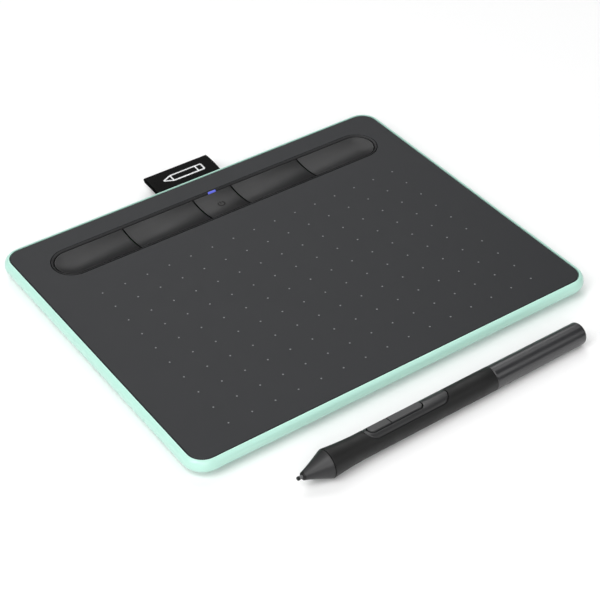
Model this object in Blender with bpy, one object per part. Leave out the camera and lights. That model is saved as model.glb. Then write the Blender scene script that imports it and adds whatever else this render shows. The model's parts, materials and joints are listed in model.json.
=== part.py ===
"""Small pen drawing tablet with its pen lying in front of it.

Metres, +Z up. The origin is on the table, under the middle of the whole set. The tablet's long
side runs along X, its key strip and pen loop are on the +Y side, and the pen lies on the -Y side.
Two empties carry the set: "tablet" at the tablet's middle, and "pen_axis" at the nib's tip with
+X running up the pen.
"""

import math

import bmesh
import bpy
from mathutils import Matrix, Vector

MM = 0.001
GAP = 0.3 * MM

# Tablet: outline, seen from above
PANEL_HALF_X = 97.5 * MM
PANEL_HALF_Y = 77.5 * MM
PANEL_RADIUS = 7.0 * MM
RIM_WIDTH = 2.5 * MM
CORNER_STEPS = 6

# Tablet: levels above the table
UNDERSIDE = 1.0 * MM
FLOOR = 2.2 * MM
RIM_WIDEST = 5.6 * MM
LEDGE = 7.0 * MM
COVER_BOTTOM = LEDGE + GAP
TOP = 8.8 * MM

# Case: how far the curved underside and the walls stand in from the panel's edge
TAPER_INSET = 6.0 * MM
CAVITY_INSET = 1.2 * MM
CAVITY_FLOOR_INSET = 3.5 * MM
CAVITY_FLOOR_RISE = 1.2 * MM
UNDER_RADIUS = 5.0 * MM

# Feet and case screws
FOOT_RADIUS = 6.0 * MM
FOOT_X = 82.0 * MM
FOOT_Y = 64.0 * MM
SCREW_X = 88.5 * MM
SCREW_YS = (-52.0 * MM, 38.0 * MM)
SCREW_RADIUS = 1.0 * MM
SCREW_HEAD_RADIUS = 1.9 * MM
SCREW_HEAD_BOTTOM = 1.3 * MM
SCREW_HEAD_TOP = 2.3 * MM
SCREW_END = 6.7 * MM
CASE_BOSS_TOP = 4.6 * MM
BOSS_RADIUS = 3.1 * MM

# Key strip: a stadium round a straight spine, slightly off the panel's middle
STRIP_X = 0.85 * MM
STRIP_Y = 56.9 * MM
SPINE_HALF = 75.85 * MM
KEY_RADIUS = 8.15 * MM
BEZEL_INNER = KEY_RADIUS + GAP
BEZEL_OUTER = 9.45 * MM
STRIP_OPENING = BEZEL_OUTER + GAP
BEZEL_FLANGE = 11.4 * MM
KEY_EDGE_Z = 8.35 * MM
KEY_SCOOP = 1.05 * MM
KEY_FLANGE_RADIUS = 8.75 * MM
KEY_FLANGE_TOP = 6.6 * MM
KEY_BOTTOM = 6.0 * MM
KEY_GAP = 0.5 * MM
KEY_SPLITS = (10.15 * MM, 46.75 * MM)
LIGHT_X = 0.5 * MM
LIGHT_HALF = 2.0 * MM

# Boards inside the tablet
MAIN_BOARD_BOTTOM = 3.0 * MM
MAIN_BOARD_TOP = 3.8 * MM
ON_BOARD = MAIN_BOARD_TOP + GAP
SENSOR_BOTTOM = 6.2 * MM
SENSOR_TOP = LEDGE
SENSOR_HALF_X = 81.0 * MM
SENSOR_Y = (-69.5 * MM, 36.0 * MM)
SHIELD_BOTTOM = 5.6 * MM
SHIELD_TOP = 5.9 * MM
POST_RADIUS = 2.0 * MM
USB_X = 45.0 * MM
USB_HALF_WIDTH = 3.8 * MM
USB_HEIGHT = 2.45 * MM
USB_Y = (74.3 * MM, 79.3 * MM)

# Woven pen loop
LOOP_X = -0.4 * MM
LOOP_HALF_WIDTH = 16.75 * MM
LOOP_THICKNESS = 0.6 * MM
LOOP_REACH_Y = 95.4 * MM
LOOP_SLOT_Z = (3.0 * MM, 6.0 * MM)

# Pen: distances along it from the tip of the nib
PEN_RADIUS = 5.15 * MM
FLARE_RADIUS = 6.1 * MM
NOSE_START = 2.2 * MM
NOSE_TIP_RADIUS = 1.5 * MM
NOSE_END = 13.55 * MM
FLARE_AT = NOSE_END + GAP
FLARE_END = 30.0 * MM
FLARE_POWER = 1.7
GRIP_END = 95.0 * MM
BARREL_RADIUS = 5.1 * MM
TAIL_RADIUS = 4.92 * MM
PEN_LENGTH = 143.8 * MM
TAIL_ROUND = 1.5 * MM
NIB_RADIUS = 0.85 * MM
NIB_LENGTH = 22.0 * MM
CORE_RADIUS = 4.2 * MM
CORE_BORE = 3.5 * MM
CORE_START = 18.0 * MM
CORE_END = 101.0 * MM
SLEEVE_BORE = CORE_RADIUS + GAP
PEN_SEGMENTS = 24
THIN_SEGMENTS = 12

# Pen: side switch on its upper side
PLATE_SPAN = (32.0 * MM, 72.2 * MM)
PLATE_HALF = 4.0 * MM
CORE_WINDOW_HALF = 2.6 * MM
CORE_WINDOW_BOTTOM = 2.4 * MM
BUTTON_HALF = 1.98 * MM
BUTTON_BOTTOM = 2.95 * MM
BUTTON_TOP = 5.15 * MM
BUTTON_SPANS = {"switch_front": (34.0 * MM, 43.75 * MM), "switch_rear": (44.05 * MM, 59.9 * MM)}

# Pen: how it lies, on its flare and its tail, rolled a little towards the tablet
PEN_TIP_X = -70.0 * MM
PEN_FLARE_Y = -102.7 * MM
PEN_YAW = math.radians(1.09)
PEN_ROLL = math.radians(-11)
TAIL_CONTACT = PEN_LENGTH - TAIL_ROUND
PEN_TILT = math.asin((FLARE_RADIUS - TAIL_RADIUS) / (TAIL_CONTACT - FLARE_AT))

# The origin is under the middle of the set, which runs from the pen's flare to the loop's tip
SET_CENTRE_Y = (LOOP_REACH_Y + PEN_FLARE_Y - FLARE_RADIUS) / 2

FINISHES = {
    "mint": ((0.50, 0.80, 0.69), 0.35, 0.0),
    "panel": ((0.055, 0.056, 0.058), 0.50, 0.0),
    "key": ((0.040, 0.040, 0.041), 0.40, 0.0),
    "trim": ((0.030, 0.030, 0.031), 0.45, 0.0),
    "rubber": ((0.030, 0.030, 0.030), 0.80, 0.0),
    "steel": ((0.55, 0.55, 0.56), 0.30, 1.0),
    "lens": ((0.10, 0.13, 0.80), 0.20, 0.0),
    "board": ((0.02, 0.16, 0.07), 0.50, 0.0),
    "chip": ((0.02, 0.02, 0.02), 0.50, 0.0),
    "pouch": ((0.60, 0.60, 0.62), 0.35, 0.6),
    "copper": ((0.60, 0.28, 0.12), 0.35, 1.0),
    "ribbon": ((0.012, 0.012, 0.013), 0.90, 0.0),
    "grip": ((0.035, 0.035, 0.036), 0.70, 0.0),
    "barrel": ((0.050, 0.050, 0.052), 0.30, 0.1),
    "nib": ((0.045, 0.045, 0.045), 0.55, 0.0),
}


def clear_scene():
    for thing in list(bpy.data.objects):
        bpy.data.objects.remove(thing, do_unlink=True)


def material(name, finish):
    colour, roughness, metallic = FINISHES[finish]
    made = bpy.data.materials.new(name)
    made.use_nodes = True
    shader = made.node_tree.nodes["Principled BSDF"]
    shader.inputs["Base Color"].default_value = (*colour, 1.0)
    shader.inputs["Roughness"].default_value = roughness
    shader.inputs["Metallic"].default_value = metallic
    return made


def place(name, mesh, finish, parent, location=(0, 0, 0)):
    """Link a mesh as a named object under its parent."""
    thing = bpy.data.objects.new(name, mesh)
    thing.location = location
    thing.parent = parent
    bpy.context.scene.collection.objects.link(thing)
    if not mesh.materials:
        mesh.materials.append(material(name, finish))
    return thing


def to_mesh(name, bm):
    """Close off a bmesh as a smooth-shaded mesh whose faces point outward."""
    bmesh.ops.remove_doubles(bm, verts=bm.verts, dist=0.001 * MM)
    bmesh.ops.recalc_face_normals(bm, faces=bm.faces)
    mesh = bpy.data.meshes.new(name)
    bm.to_mesh(mesh)
    bm.free()
    mesh.shade_smooth()
    mesh.set_sharp_from_angle(angle=math.radians(35))
    return mesh


def add_skin(bm, rings, closed=False):
    """Join rings of points with quads; cap both ends, or join the last ring to the first."""
    rows = [[bm.verts.new(point) for point in ring] for ring in rings]
    followers = rows[1:] + rows[:1] if closed else rows[1:]
    for row, after in zip(rows, followers):
        for i in range(len(row)):
            bm.faces.new((row[i - 1], row[i], after[i], after[i - 1]))
    if not closed:
        bm.faces.new(rows[0])
        bm.faces.new(rows[-1])


def skin(name, rings, closed=False):
    bm = bmesh.new()
    add_skin(bm, rings, closed)
    return to_mesh(name, bm)


def arc(centre_x, centre_y, radius, start, end, steps):
    """Points on an arc, both ends included; angles in degrees."""
    turns = [math.radians(start + (end - start) * i / steps) for i in range(steps + 1)]
    return [(centre_x + radius * math.cos(a), centre_y + radius * math.sin(a)) for a in turns]


def rounded_outline(half_x, half_y, radius, steps=CORNER_STEPS):
    points = []
    for i, (side_x, side_y) in enumerate(((1, 1), (-1, 1), (-1, -1), (1, -1))):
        centre = (side_x * (half_x - radius), side_y * (half_y - radius))
        points += arc(*centre, radius, 90 * i, 90 * i + 90, steps)
    return points


def stadium_outline(start, end, radius, steps=8):
    """A bar from x = start to x = end, the centres of its round ends."""
    return arc(end, 0, radius, -90, 90, steps) + arc(start, 0, radius, 90, 270, steps)


def at_height(outline, z):
    return [Vector((x, y, z)) for x, y in outline]


def prism(name, outline, bottom, top):
    return skin(name, [at_height(outline, bottom), at_height(outline, top)])


def box(name, low, high):
    outline = [(low[0], low[1]), (high[0], low[1]), (high[0], high[1]), (low[0], high[1])]
    return prism(name, outline, low[2], high[2])


def side_prism(name, outline, low_x, high_x):
    """Extrude an outline of (y, z) points along X."""
    return skin(name, [[Vector((x, y, z)) for y, z in outline] for x in (low_x, high_x)])


def turned(name, profile, segments, along="X"):
    """Turn a closed outline of (distance along, radius) points about an axis through the origin."""
    bm = bmesh.new()
    rows = []
    for distance, radius in profile:
        count = segments if radius > 0 else 1
        row = []
        for i in range(count):
            angle = 2 * math.pi * i / segments
            side, up = radius * math.sin(angle), radius * math.cos(angle)
            point = (distance, side, up) if along == "X" else (side, up, distance)
            row.append(bm.verts.new(point))
        rows.append(row * (segments // count))
    for row, after in zip(rows, rows[1:] + rows[:1]):
        for i in range(segments):
            corners = list(dict.fromkeys((row[i - 1], row[i], after[i], after[i - 1])))
            if len(corners) > 2:
                bm.faces.new(corners)
    return to_mesh(name, bm)


def tube_profile(start, end, outer, inner):
    return [(start, inner), (start, outer), (end, outer), (end, inner)]


def several(name, meshes):
    """Put meshes that do not touch into one, to cut or join with in a single step."""
    bm = bmesh.new()
    for mesh in meshes:
        bm.from_mesh(mesh)
        bpy.data.meshes.remove(mesh)
    return to_mesh(name, bm)


def moved(mesh, x, y, z=0.0):
    mesh.transform(Matrix.Translation((x, y, z)))
    return mesh


def combine(target, tool_mesh, operation):
    """Join a hidden tool to the target, or cut it away, with an exact Boolean."""
    tool = place(tool_mesh.name, tool_mesh, "trim", target.parent, target.location)
    tool.hide_render = True
    tool.display_type = "WIRE"
    boolean = target.modifiers.new(tool_mesh.name, "BOOLEAN")
    boolean.operation = operation
    boolean.solver = "EXACT"
    boolean.object = tool


def panel_ring(offset, z, radius=None):
    """The panel's outline, moved outward by offset."""
    rounding = PANEL_RADIUS + offset if radius is None else radius
    return at_height(rounded_outline(PANEL_HALF_X + offset, PANEL_HALF_Y + offset, rounding), z)


def case_rings():
    """The tray's section, from the middle of the underside, round the rim, to the inner floor."""
    rings = []
    reach = TAPER_INSET + RIM_WIDTH
    for angle in (0, 15, 30, 45, 58, 70, 80):
        turn = math.radians(angle)
        offset = reach * math.sin(turn) - TAPER_INSET
        z = RIM_WIDEST - (RIM_WIDEST - UNDERSIDE) * math.cos(turn)
        rings.append(panel_ring(offset, z, max(PANEL_RADIUS + offset, UNDER_RADIUS)))
    for angle in range(0, 91, 15):
        turn = math.radians(angle)
        offset = GAP + (RIM_WIDTH - GAP) * math.cos(turn)
        rings.append(panel_ring(offset, RIM_WIDEST + (TOP - RIM_WIDEST) * math.sin(turn)))
    rings.append(panel_ring(GAP, LEDGE))
    rings.append(panel_ring(-CAVITY_INSET, LEDGE))
    rings.append(panel_ring(-CAVITY_INSET, FLOOR + CAVITY_FLOOR_RISE))
    rings.append(panel_ring(-CAVITY_FLOOR_INSET, FLOOR, UNDER_RADIUS))
    return rings


def post(name, x, y, radius, bottom, top, segments=THIN_SEGMENTS):
    profile = [(bottom, 0), (bottom, radius), (top, radius), (top, 0)]
    return moved(turned(name, profile, segments, "Z"), x, y)


def corners_of(x, ys):
    return [(side * x, y) for y in ys for side in (-1, 1)]


def case_posts():
    """Screw bosses, and the posts that carry the main board, the shield and the sensor board."""
    sunk = FLOOR - GAP
    bosses = [post("boss", x, y, BOSS_RADIUS, sunk, CASE_BOSS_TOP) for x, y in corners_of(SCREW_X, SCREW_YS)]
    board = [
        post("board_post", x, y, POST_RADIUS, sunk, MAIN_BOARD_BOTTOM - GAP)
        for x, y in corners_of(70 * MM, (48 * MM, 68 * MM))
    ]
    shield = [
        post("shield_post", x, y, POST_RADIUS, sunk, SHIELD_BOTTOM - GAP)
        for x, y in corners_of(70 * MM, (-62 * MM, -16 * MM, 28 * MM))
    ]
    return several("case_posts", bosses + board + shield)


def case_cuts():
    """Screw holes and counterbores, foot recesses, the loop's slot and the socket's window."""
    cuts = []
    for x, y in corners_of(SCREW_X, SCREW_YS):
        shank = SCREW_RADIUS + GAP
        head = SCREW_HEAD_RADIUS + GAP
        step = SCREW_HEAD_TOP + GAP
        profile = [(0, 0), (0, head), (step, head), (step, shank), (TOP, shank), (TOP, 0)]
        cuts.append(moved(turned("screw_hole", profile, THIN_SEGMENTS, "Z"), x, y))
    for x, y in corners_of(FOOT_X, (-FOOT_Y, FOOT_Y)):
        cuts.append(post("foot_recess", x, y, FOOT_RADIUS + GAP, 0, UNDERSIDE + GAP, PEN_SEGMENTS))
    slot_half = LOOP_HALF_WIDTH + GAP
    back = PANEL_HALF_Y + 2 * RIM_WIDTH
    inside = PANEL_HALF_Y - 2 * RIM_WIDTH
    low, high = (LOOP_X - slot_half, inside, LOOP_SLOT_Z[0]), (LOOP_X + slot_half, back, LOOP_SLOT_Z[1])
    cuts.append(box("slot", low, high))
    window = USB_HALF_WIDTH + GAP
    low, high = ON_BOARD - GAP, ON_BOARD + USB_HEIGHT + 0.2 * MM
    cuts.append(box("window", (USB_X - window, inside, low), (USB_X + window, back, high)))
    return several("case_cuts", cuts)


def make_case(tablet):
    case = place("bottom_case", skin("bottom_case", case_rings()), "mint", tablet)
    combine(case, case_posts(), "UNION")
    combine(case, case_cuts(), "DIFFERENCE")


def make_cover(tablet):
    """The dark top panel, with the key strip's opening and posts for the case screws."""
    chamfer = 0.3 * MM
    rings = [
        panel_ring(0, COVER_BOTTOM),
        panel_ring(0, TOP - chamfer),
        panel_ring(-chamfer, TOP),
    ]
    cover = place("top_cover", skin("top_cover", rings), "panel", tablet)
    posts = [
        post("cover_post", x, y, BOSS_RADIUS - GAP, CASE_BOSS_TOP + GAP, COVER_BOTTOM + GAP)
        for x, y in corners_of(SCREW_X, SCREW_YS)
    ]
    combine(cover, several("cover_posts", posts), "UNION")
    opening = prism("strip_opening", stadium_outline(-SPINE_HALF, SPINE_HALF, STRIP_OPENING), FLOOR, 2 * TOP)
    holes = [
        post("cover_hole", x, y, SCREW_RADIUS + GAP, FLOOR, SCREW_END + GAP)
        for x, y in corners_of(SCREW_X, SCREW_YS)
    ]
    combine(cover, several("cover_cuts", [moved(opening, STRIP_X, STRIP_Y), *holes]), "DIFFERENCE")


def make_bezel(tablet):
    """The ring round the keys: a sloping face, with a flange behind the cover."""
    inner_wall = KEY_FLANGE_RADIUS + 0.25 * MM
    ring_bottom = KEY_FLANGE_TOP + GAP
    section = [
        (BEZEL_INNER, KEY_EDGE_Z + 0.05 * MM),
        (BEZEL_OUTER - 0.15 * MM, TOP),
        (BEZEL_OUTER, TOP - 0.15 * MM),
        (BEZEL_OUTER, LEDGE),
        (BEZEL_FLANGE, LEDGE),
        (BEZEL_FLANGE, SENSOR_BOTTOM),
        (inner_wall, SENSOR_BOTTOM),
        (inner_wall, ring_bottom),
        (BEZEL_INNER, ring_bottom),
    ]
    rings = [at_height(stadium_outline(-SPINE_HALF, SPINE_HALF, r), z) for r, z in section]
    bezel = place("key_bezel", skin("key_bezel", rings, closed=True), "trim", tablet, (STRIP_X, STRIP_Y, 0))
    half = LIGHT_HALF + GAP
    low = (LIGHT_X - half, BEZEL_INNER - GAP, FLOOR)
    high = (LIGHT_X + half, STRIP_OPENING, 2 * TOP)
    combine(bezel, box("light_notch", low, high), "DIFFERENCE")


def key_half_section(steps=5):
    """(distance from the spine, height): across the scooped top, down the side and back under."""
    top = []
    for i in range(steps + 1):
        reach = KEY_RADIUS * i / steps
        top.append((reach, KEY_EDGE_Z - KEY_SCOOP * (1 - (reach / KEY_RADIUS) ** 2)))
    skirt = [
        (KEY_RADIUS, KEY_FLANGE_TOP),
        (KEY_FLANGE_RADIUS, KEY_FLANGE_TOP),
        (KEY_FLANGE_RADIUS, KEY_BOTTOM),
        (0, KEY_BOTTOM),
    ]
    return top + skirt


def key_mesh(name, start, end, round_start, round_end):
    """One key between two points of the spine, with a flat or a scooped round end at each."""
    section = key_half_section()
    bm = bmesh.new()
    spine = {x: [bm.verts.new((x, 0, section[i][1])) for i in (0, -1)] for x in (start, end)}
    steps = 8

    def row(x, angle):
        turn = math.radians(angle)
        side = [(x + r * math.cos(turn), r * math.sin(turn), z) for r, z in section[1:-1]]
        return [spine[x][0], *[bm.verts.new(point) for point in side], spine[x][1]]

    def bridge(a, b):
        for i in range(len(a) - 1):
            bm.faces.new(dict.fromkeys((a[i], a[i + 1], b[i + 1], b[i])))

    def finish(x, first, last, angle, rounded):
        rows = [first]
        if rounded:
            rows += [row(x, angle + 180 * i / steps) for i in range(1, steps)]
        rows.append(last)
        if rounded:
            for a, b in zip(rows, rows[1:]):
                bridge(a, b)
        else:
            bm.faces.new(first + last[-2:0:-1])

    front = [row(start, -90), row(end, -90)]
    back = [row(end, 90), row(start, 90)]
    bridge(*front)
    finish(end, front[1], back[0], -90, round_end)
    bridge(*back)
    finish(start, back[1], front[0], 90, round_start)
    return to_mesh(name, bm)


def make_keys(tablet):
    """Four express keys with the power key in the middle, in one scooped strip."""
    inner, outer = KEY_SPLITS
    half_gap = KEY_GAP / 2
    spans = {
        "express_key_1": (-SPINE_HALF, -outer - half_gap, True, False),
        "express_key_2": (-outer + half_gap, -inner - half_gap, False, False),
        "power_key": (-inner + half_gap, inner - half_gap, False, False),
        "express_key_3": (inner + half_gap, outer - half_gap, False, False),
        "express_key_4": (outer + half_gap, SPINE_HALF, False, True),
    }
    for i, (name, (start, end, round_start, round_end)) in enumerate(spans.items(), 1):
        middle = (start + end) / 2
        mesh = key_mesh(name, start - middle, end - middle, round_start, round_end)
        place(name, mesh, "key", tablet, (STRIP_X + middle, STRIP_Y, 0))
        make_key_switch(f"key_switch_{i}", STRIP_X + middle, tablet)


def make_key_switch(name, x, tablet):
    """A small press switch on the main board: a square body with a round button."""
    half = 2.6 * MM
    body = box(name, (-half, -half, ON_BOARD), (half, half, ON_BOARD + 0.9 * MM))
    switch = place(name, body, "chip", tablet, (x, STRIP_Y, 0))
    button = post(f"{name}_button", 0, 0, 1.5 * MM, ON_BOARD + 0.5 * MM, KEY_BOTTOM - 0.5 * MM)
    combine(switch, button, "UNION")


def make_light(tablet):
    """The status light: a lens in the bezel's notch over a lamp on the main board."""
    stem = BEZEL_OUTER - 0.35 * MM
    outline = [
        (BEZEL_INNER + 0.15 * MM, 7.2 * MM),
        (stem, 7.2 * MM),
        (stem, 5.2 * MM),
        (BEZEL_OUTER, 5.2 * MM),
        (BEZEL_OUTER, TOP - 0.1 * MM),
        (BEZEL_INNER + 0.15 * MM, KEY_EDGE_Z + 0.1 * MM),
    ]
    low, high = LIGHT_X - LIGHT_HALF, LIGHT_X + LIGHT_HALF
    place("status_lens", side_prism("status_lens", outline, low, high), "lens", tablet, (STRIP_X, STRIP_Y, 0))
    lamp = box("status_lamp", (-0.8 * MM, -0.4 * MM, ON_BOARD), (0.8 * MM, 0.4 * MM, ON_BOARD + 0.7 * MM))
    place("status_lamp", lamp, "lens", tablet, (STRIP_X + LIGHT_X, STRIP_Y + BEZEL_OUTER - 0.2 * MM, 0))


def make_main_board(tablet):
    """The board under the keys, with a tab that carries the socket, and the chips on it."""
    half_x, front, back, tab_back = 78 * MM, 44 * MM, 72.5 * MM, 75 * MM
    tab = (USB_X - 6 * MM, USB_X + 6 * MM)
    outline = [
        (-half_x, front),
        (half_x, front),
        (half_x, back),
        (tab[1], back),
        (tab[1], tab_back),
        (tab[0], tab_back),
        (tab[0], back),
        (-half_x, back),
    ]
    place("main_board", prism("main_board", outline, MAIN_BOARD_BOTTOM, MAIN_BOARD_TOP), "board", tablet)
    chips = {
        "controller_chip": ((38, 60), (7, 7), 0.9, "chip"),
        "radio_module": ((-66, 68), (14, 8), 1.3, "steel"),
        "battery_connector": ((20, 48), (6, 4), 1.2, "trim"),
    }
    for name, (centre, size, height, finish) in chips.items():
        half = [s / 2 * MM for s in size]
        mesh = box(name, (-half[0], -half[1], ON_BOARD), (half[0], half[1], ON_BOARD + height * MM))
        place(name, mesh, finish, tablet, (centre[0] * MM, centre[1] * MM, 0))


def make_sensor_stack(tablet):
    """The pen-sensing board against the panel, the shield under it, and the battery."""
    sensor = box(
        "sensor_board",
        (-SENSOR_HALF_X, SENSOR_Y[0], SENSOR_BOTTOM),
        (SENSOR_HALF_X, SENSOR_Y[1], SENSOR_TOP),
    )
    place("sensor_board", sensor, "board", tablet)
    inset = 1 * MM
    shield = box(
        "shield_plate",
        (-SENSOR_HALF_X + inset, SENSOR_Y[0] + inset, SHIELD_BOTTOM),
        (SENSOR_HALF_X - inset, SENSOR_Y[1] - inset, SHIELD_TOP),
    )
    place("shield_plate", shield, "steel", tablet)
    outline = rounded_outline(30 * MM, 20 * MM, 2 * MM, 3)
    battery = prism("battery", outline, FLOOR + GAP, SHIELD_BOTTOM - GAP)
    place("battery", battery, "pouch", tablet, (20 * MM, -25 * MM, 0))


def ribbon_outline(path, thickness):
    """The outline of a strip of even thickness whose middle follows a path of (y, z) points."""
    points = [Vector(p) for p in path]
    sides = ([], [])
    for i, point in enumerate(points):
        before, after = points[max(i - 1, 0)], points[min(i + 1, len(points) - 1)]
        ahead = (after - before).normalized()
        across = Vector((-ahead.y, ahead.x)) * thickness / 2
        sides[0].append(tuple(point + across))
        sides[1].append(tuple(point - across))
    return sides[0] + sides[1][::-1]


def make_leads(tablet):
    """The flat cable from the sensor board, and the battery's two-wire lead."""
    flex = [(36.4, 6.6), (38.5, 6.6), (40.5, 6.2), (42, 5.2), (43.5, 4.5), (45, 4.25), (50, 4.25)]
    outline = ribbon_outline([(y * MM, z * MM) for y, z in flex], 0.2 * MM)
    flex_mesh = side_prism("sensor_flex", outline, -7 * MM, 7 * MM)
    place("sensor_flex", flex_mesh, "copper", tablet, (-30 * MM, 0, 0))
    lead = [(-4.6, 3.6), (38, 3.6), (41, 3.8), (43, 4.5), (45.6, 4.7)]
    outline = ribbon_outline([(y * MM, z * MM) for y, z in lead], 0.9 * MM)
    lead_mesh = side_prism("battery_lead", outline, -1.1 * MM, 1.1 * MM)
    place("battery_lead", lead_mesh, "trim", tablet, (20 * MM, 0, 0))


def socket_ring(inset, y):
    """The socket's outline: wide at the top, with its two lower corners cut off."""
    half, low, high = USB_HALF_WIDTH - inset, inset, USB_HEIGHT - inset
    cut = 0.8 * MM
    right = [(half - cut, low), (half, low + cut), (half, high)]
    left = [(-half, high), (-half, low + cut), (-half + cut, low)]
    return [Vector((x, y, z)) for x, z in right + left]


def make_socket(tablet):
    """The charging and data socket: a steel shell, open to the back, round a tongue."""
    wall = 0.3 * MM
    inner_back = USB_Y[0] + 0.8 * MM
    section = [(0, USB_Y[0]), (0, USB_Y[1]), (wall, USB_Y[1]), (wall, inner_back)]
    rings = [socket_ring(inset, y) for inset, y in section]
    socket = place("usb_socket", skin("usb_socket", rings), "steel", tablet, (USB_X, 0, ON_BOARD))
    tongue_half = 2.3 * MM
    low = (-tongue_half, inner_back - wall, 1.25 * MM)
    high = (tongue_half, USB_Y[1] - 0.6 * MM, 1.75 * MM)
    combine(socket, box("usb_tongue", low, high), "UNION")


def make_feet(tablet):
    edge = 0.3 * MM
    profile = [
        (0, 0),
        (0, FOOT_RADIUS - edge),
        (edge, FOOT_RADIUS),
        (UNDERSIDE, FOOT_RADIUS),
        (UNDERSIDE, 0),
    ]
    mesh = turned("rubber_foot", profile, PEN_SEGMENTS, "Z")
    for i, (x, y) in enumerate(corners_of(FOOT_X, (-FOOT_Y, FOOT_Y)), 1):
        place(f"rubber_foot_{i}", mesh, "rubber", tablet, (x, y, 0))


def make_screws(tablet):
    """Four case screws, driven up from the underside into the cover's posts."""
    profile = [
        (SCREW_HEAD_BOTTOM, 0),
        (SCREW_HEAD_BOTTOM, SCREW_HEAD_RADIUS - 0.2 * MM),
        (SCREW_HEAD_BOTTOM + 0.2 * MM, SCREW_HEAD_RADIUS),
        (SCREW_HEAD_TOP, SCREW_HEAD_RADIUS),
        (SCREW_HEAD_TOP, SCREW_RADIUS),
        (SCREW_END - 0.5 * MM, SCREW_RADIUS),
        (SCREW_END, 0.5 * SCREW_RADIUS),
        (SCREW_END, 0),
    ]
    slot_half, slot_reach = 0.25 * MM, 1.1 * MM
    for i, (x, y) in enumerate(corners_of(SCREW_X, SCREW_YS), 1):
        name = f"case_screw_{i}"
        mesh = turned(name, profile, THIN_SEGMENTS, "Z")
        screw = place(name, mesh, "steel", tablet, (x, y, 0))
        depth = SCREW_HEAD_BOTTOM + 0.5 * MM
        slot = box(f"{name}_slot", (-slot_reach, -slot_half, 0), (slot_reach, slot_half, depth))
        cross = box(f"{name}_cross", (-slot_half, -slot_reach, 0), (slot_half, slot_reach, depth))
        combine(screw, slot, "DIFFERENCE")
        combine(screw, cross, "DIFFERENCE")


def loop_path():
    """The folded ribbon's middle line: out of the case, over the fold and back in."""
    fold_radius = 1.15 * MM
    fold_y = LOOP_REACH_Y - LOOP_THICKNESS / 2 - fold_radius
    fold_z = 5.55 * MM
    upper = [(74.0, 5.4), (79.0, 5.4), (82.5, 5.95), (86.0, 6.5), (90.0, 6.8)]
    lower = [(90.0, 4.35), (86.0, 4.0), (82.0, 3.7), (79.0, 3.6), (74.0, 3.6)]
    fold = arc(fold_y, fold_z, fold_radius, 90, -90, 6)
    in_metres = [[(y * MM, z * MM) for y, z in half] for half in (upper, lower)]
    return in_metres[0] + fold + in_metres[1]


def make_loop(tablet):
    """The pen loop, a woven ribbon open to both sides, and the bar that anchors it in the case."""
    outline = ribbon_outline(loop_path(), LOOP_THICKNESS)
    mesh = side_prism("pen_loop", outline, -LOOP_HALF_WIDTH, LOOP_HALF_WIDTH)
    place("pen_loop", mesh, "ribbon", tablet, (LOOP_X, 0, 0))
    half = LOOP_HALF_WIDTH - 1 * MM
    anchor = box("loop_anchor", (-half, 73.4 * MM, 4.2 * MM), (half, 75.8 * MM, 4.8 * MM))
    place("loop_anchor", anchor, "trim", tablet, (LOOP_X, 0, 0))


def grip_radius(along):
    """The sleeve swells towards the nose in a hollow curve."""
    t = min(max((along - FLARE_AT) / (FLARE_END - FLARE_AT), 0), 1)
    return PEN_RADIUS + (FLARE_RADIUS - PEN_RADIUS) * (1 - t) ** FLARE_POWER


def nose_radius(along):
    t = (along - NOSE_START) / (FLARE_AT - NOSE_START)
    return NOSE_TIP_RADIUS + (FLARE_RADIUS - NOSE_TIP_RADIUS) * (0.85 * t + 0.15 * t * t)


def make_nose(pen):
    steps = 5
    edge = 0.2 * MM
    skirt_start = NOSE_START + edge
    skirt_end = NOSE_END - edge
    outer = [skirt_start + (skirt_end - skirt_start) * i / steps for i in range(steps + 1)]
    stub_end = 17.5 * MM
    chamber_start, chamber_radius = 8.5 * MM, 3.2 * MM
    profile = [(NOSE_START, NIB_RADIUS + GAP), (NOSE_START, NOSE_TIP_RADIUS - edge)]
    profile += [(s, nose_radius(s)) for s in outer]
    profile += [(NOSE_END, nose_radius(NOSE_END) - edge), (NOSE_END, CORE_RADIUS), (stub_end, CORE_RADIUS)]
    profile += [(stub_end, chamber_radius), (chamber_start, chamber_radius)]
    profile += [(chamber_start, NIB_RADIUS + GAP)]
    place("nose_cone", turned("nose_cone", profile, PEN_SEGMENTS), "barrel", pen)


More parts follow.
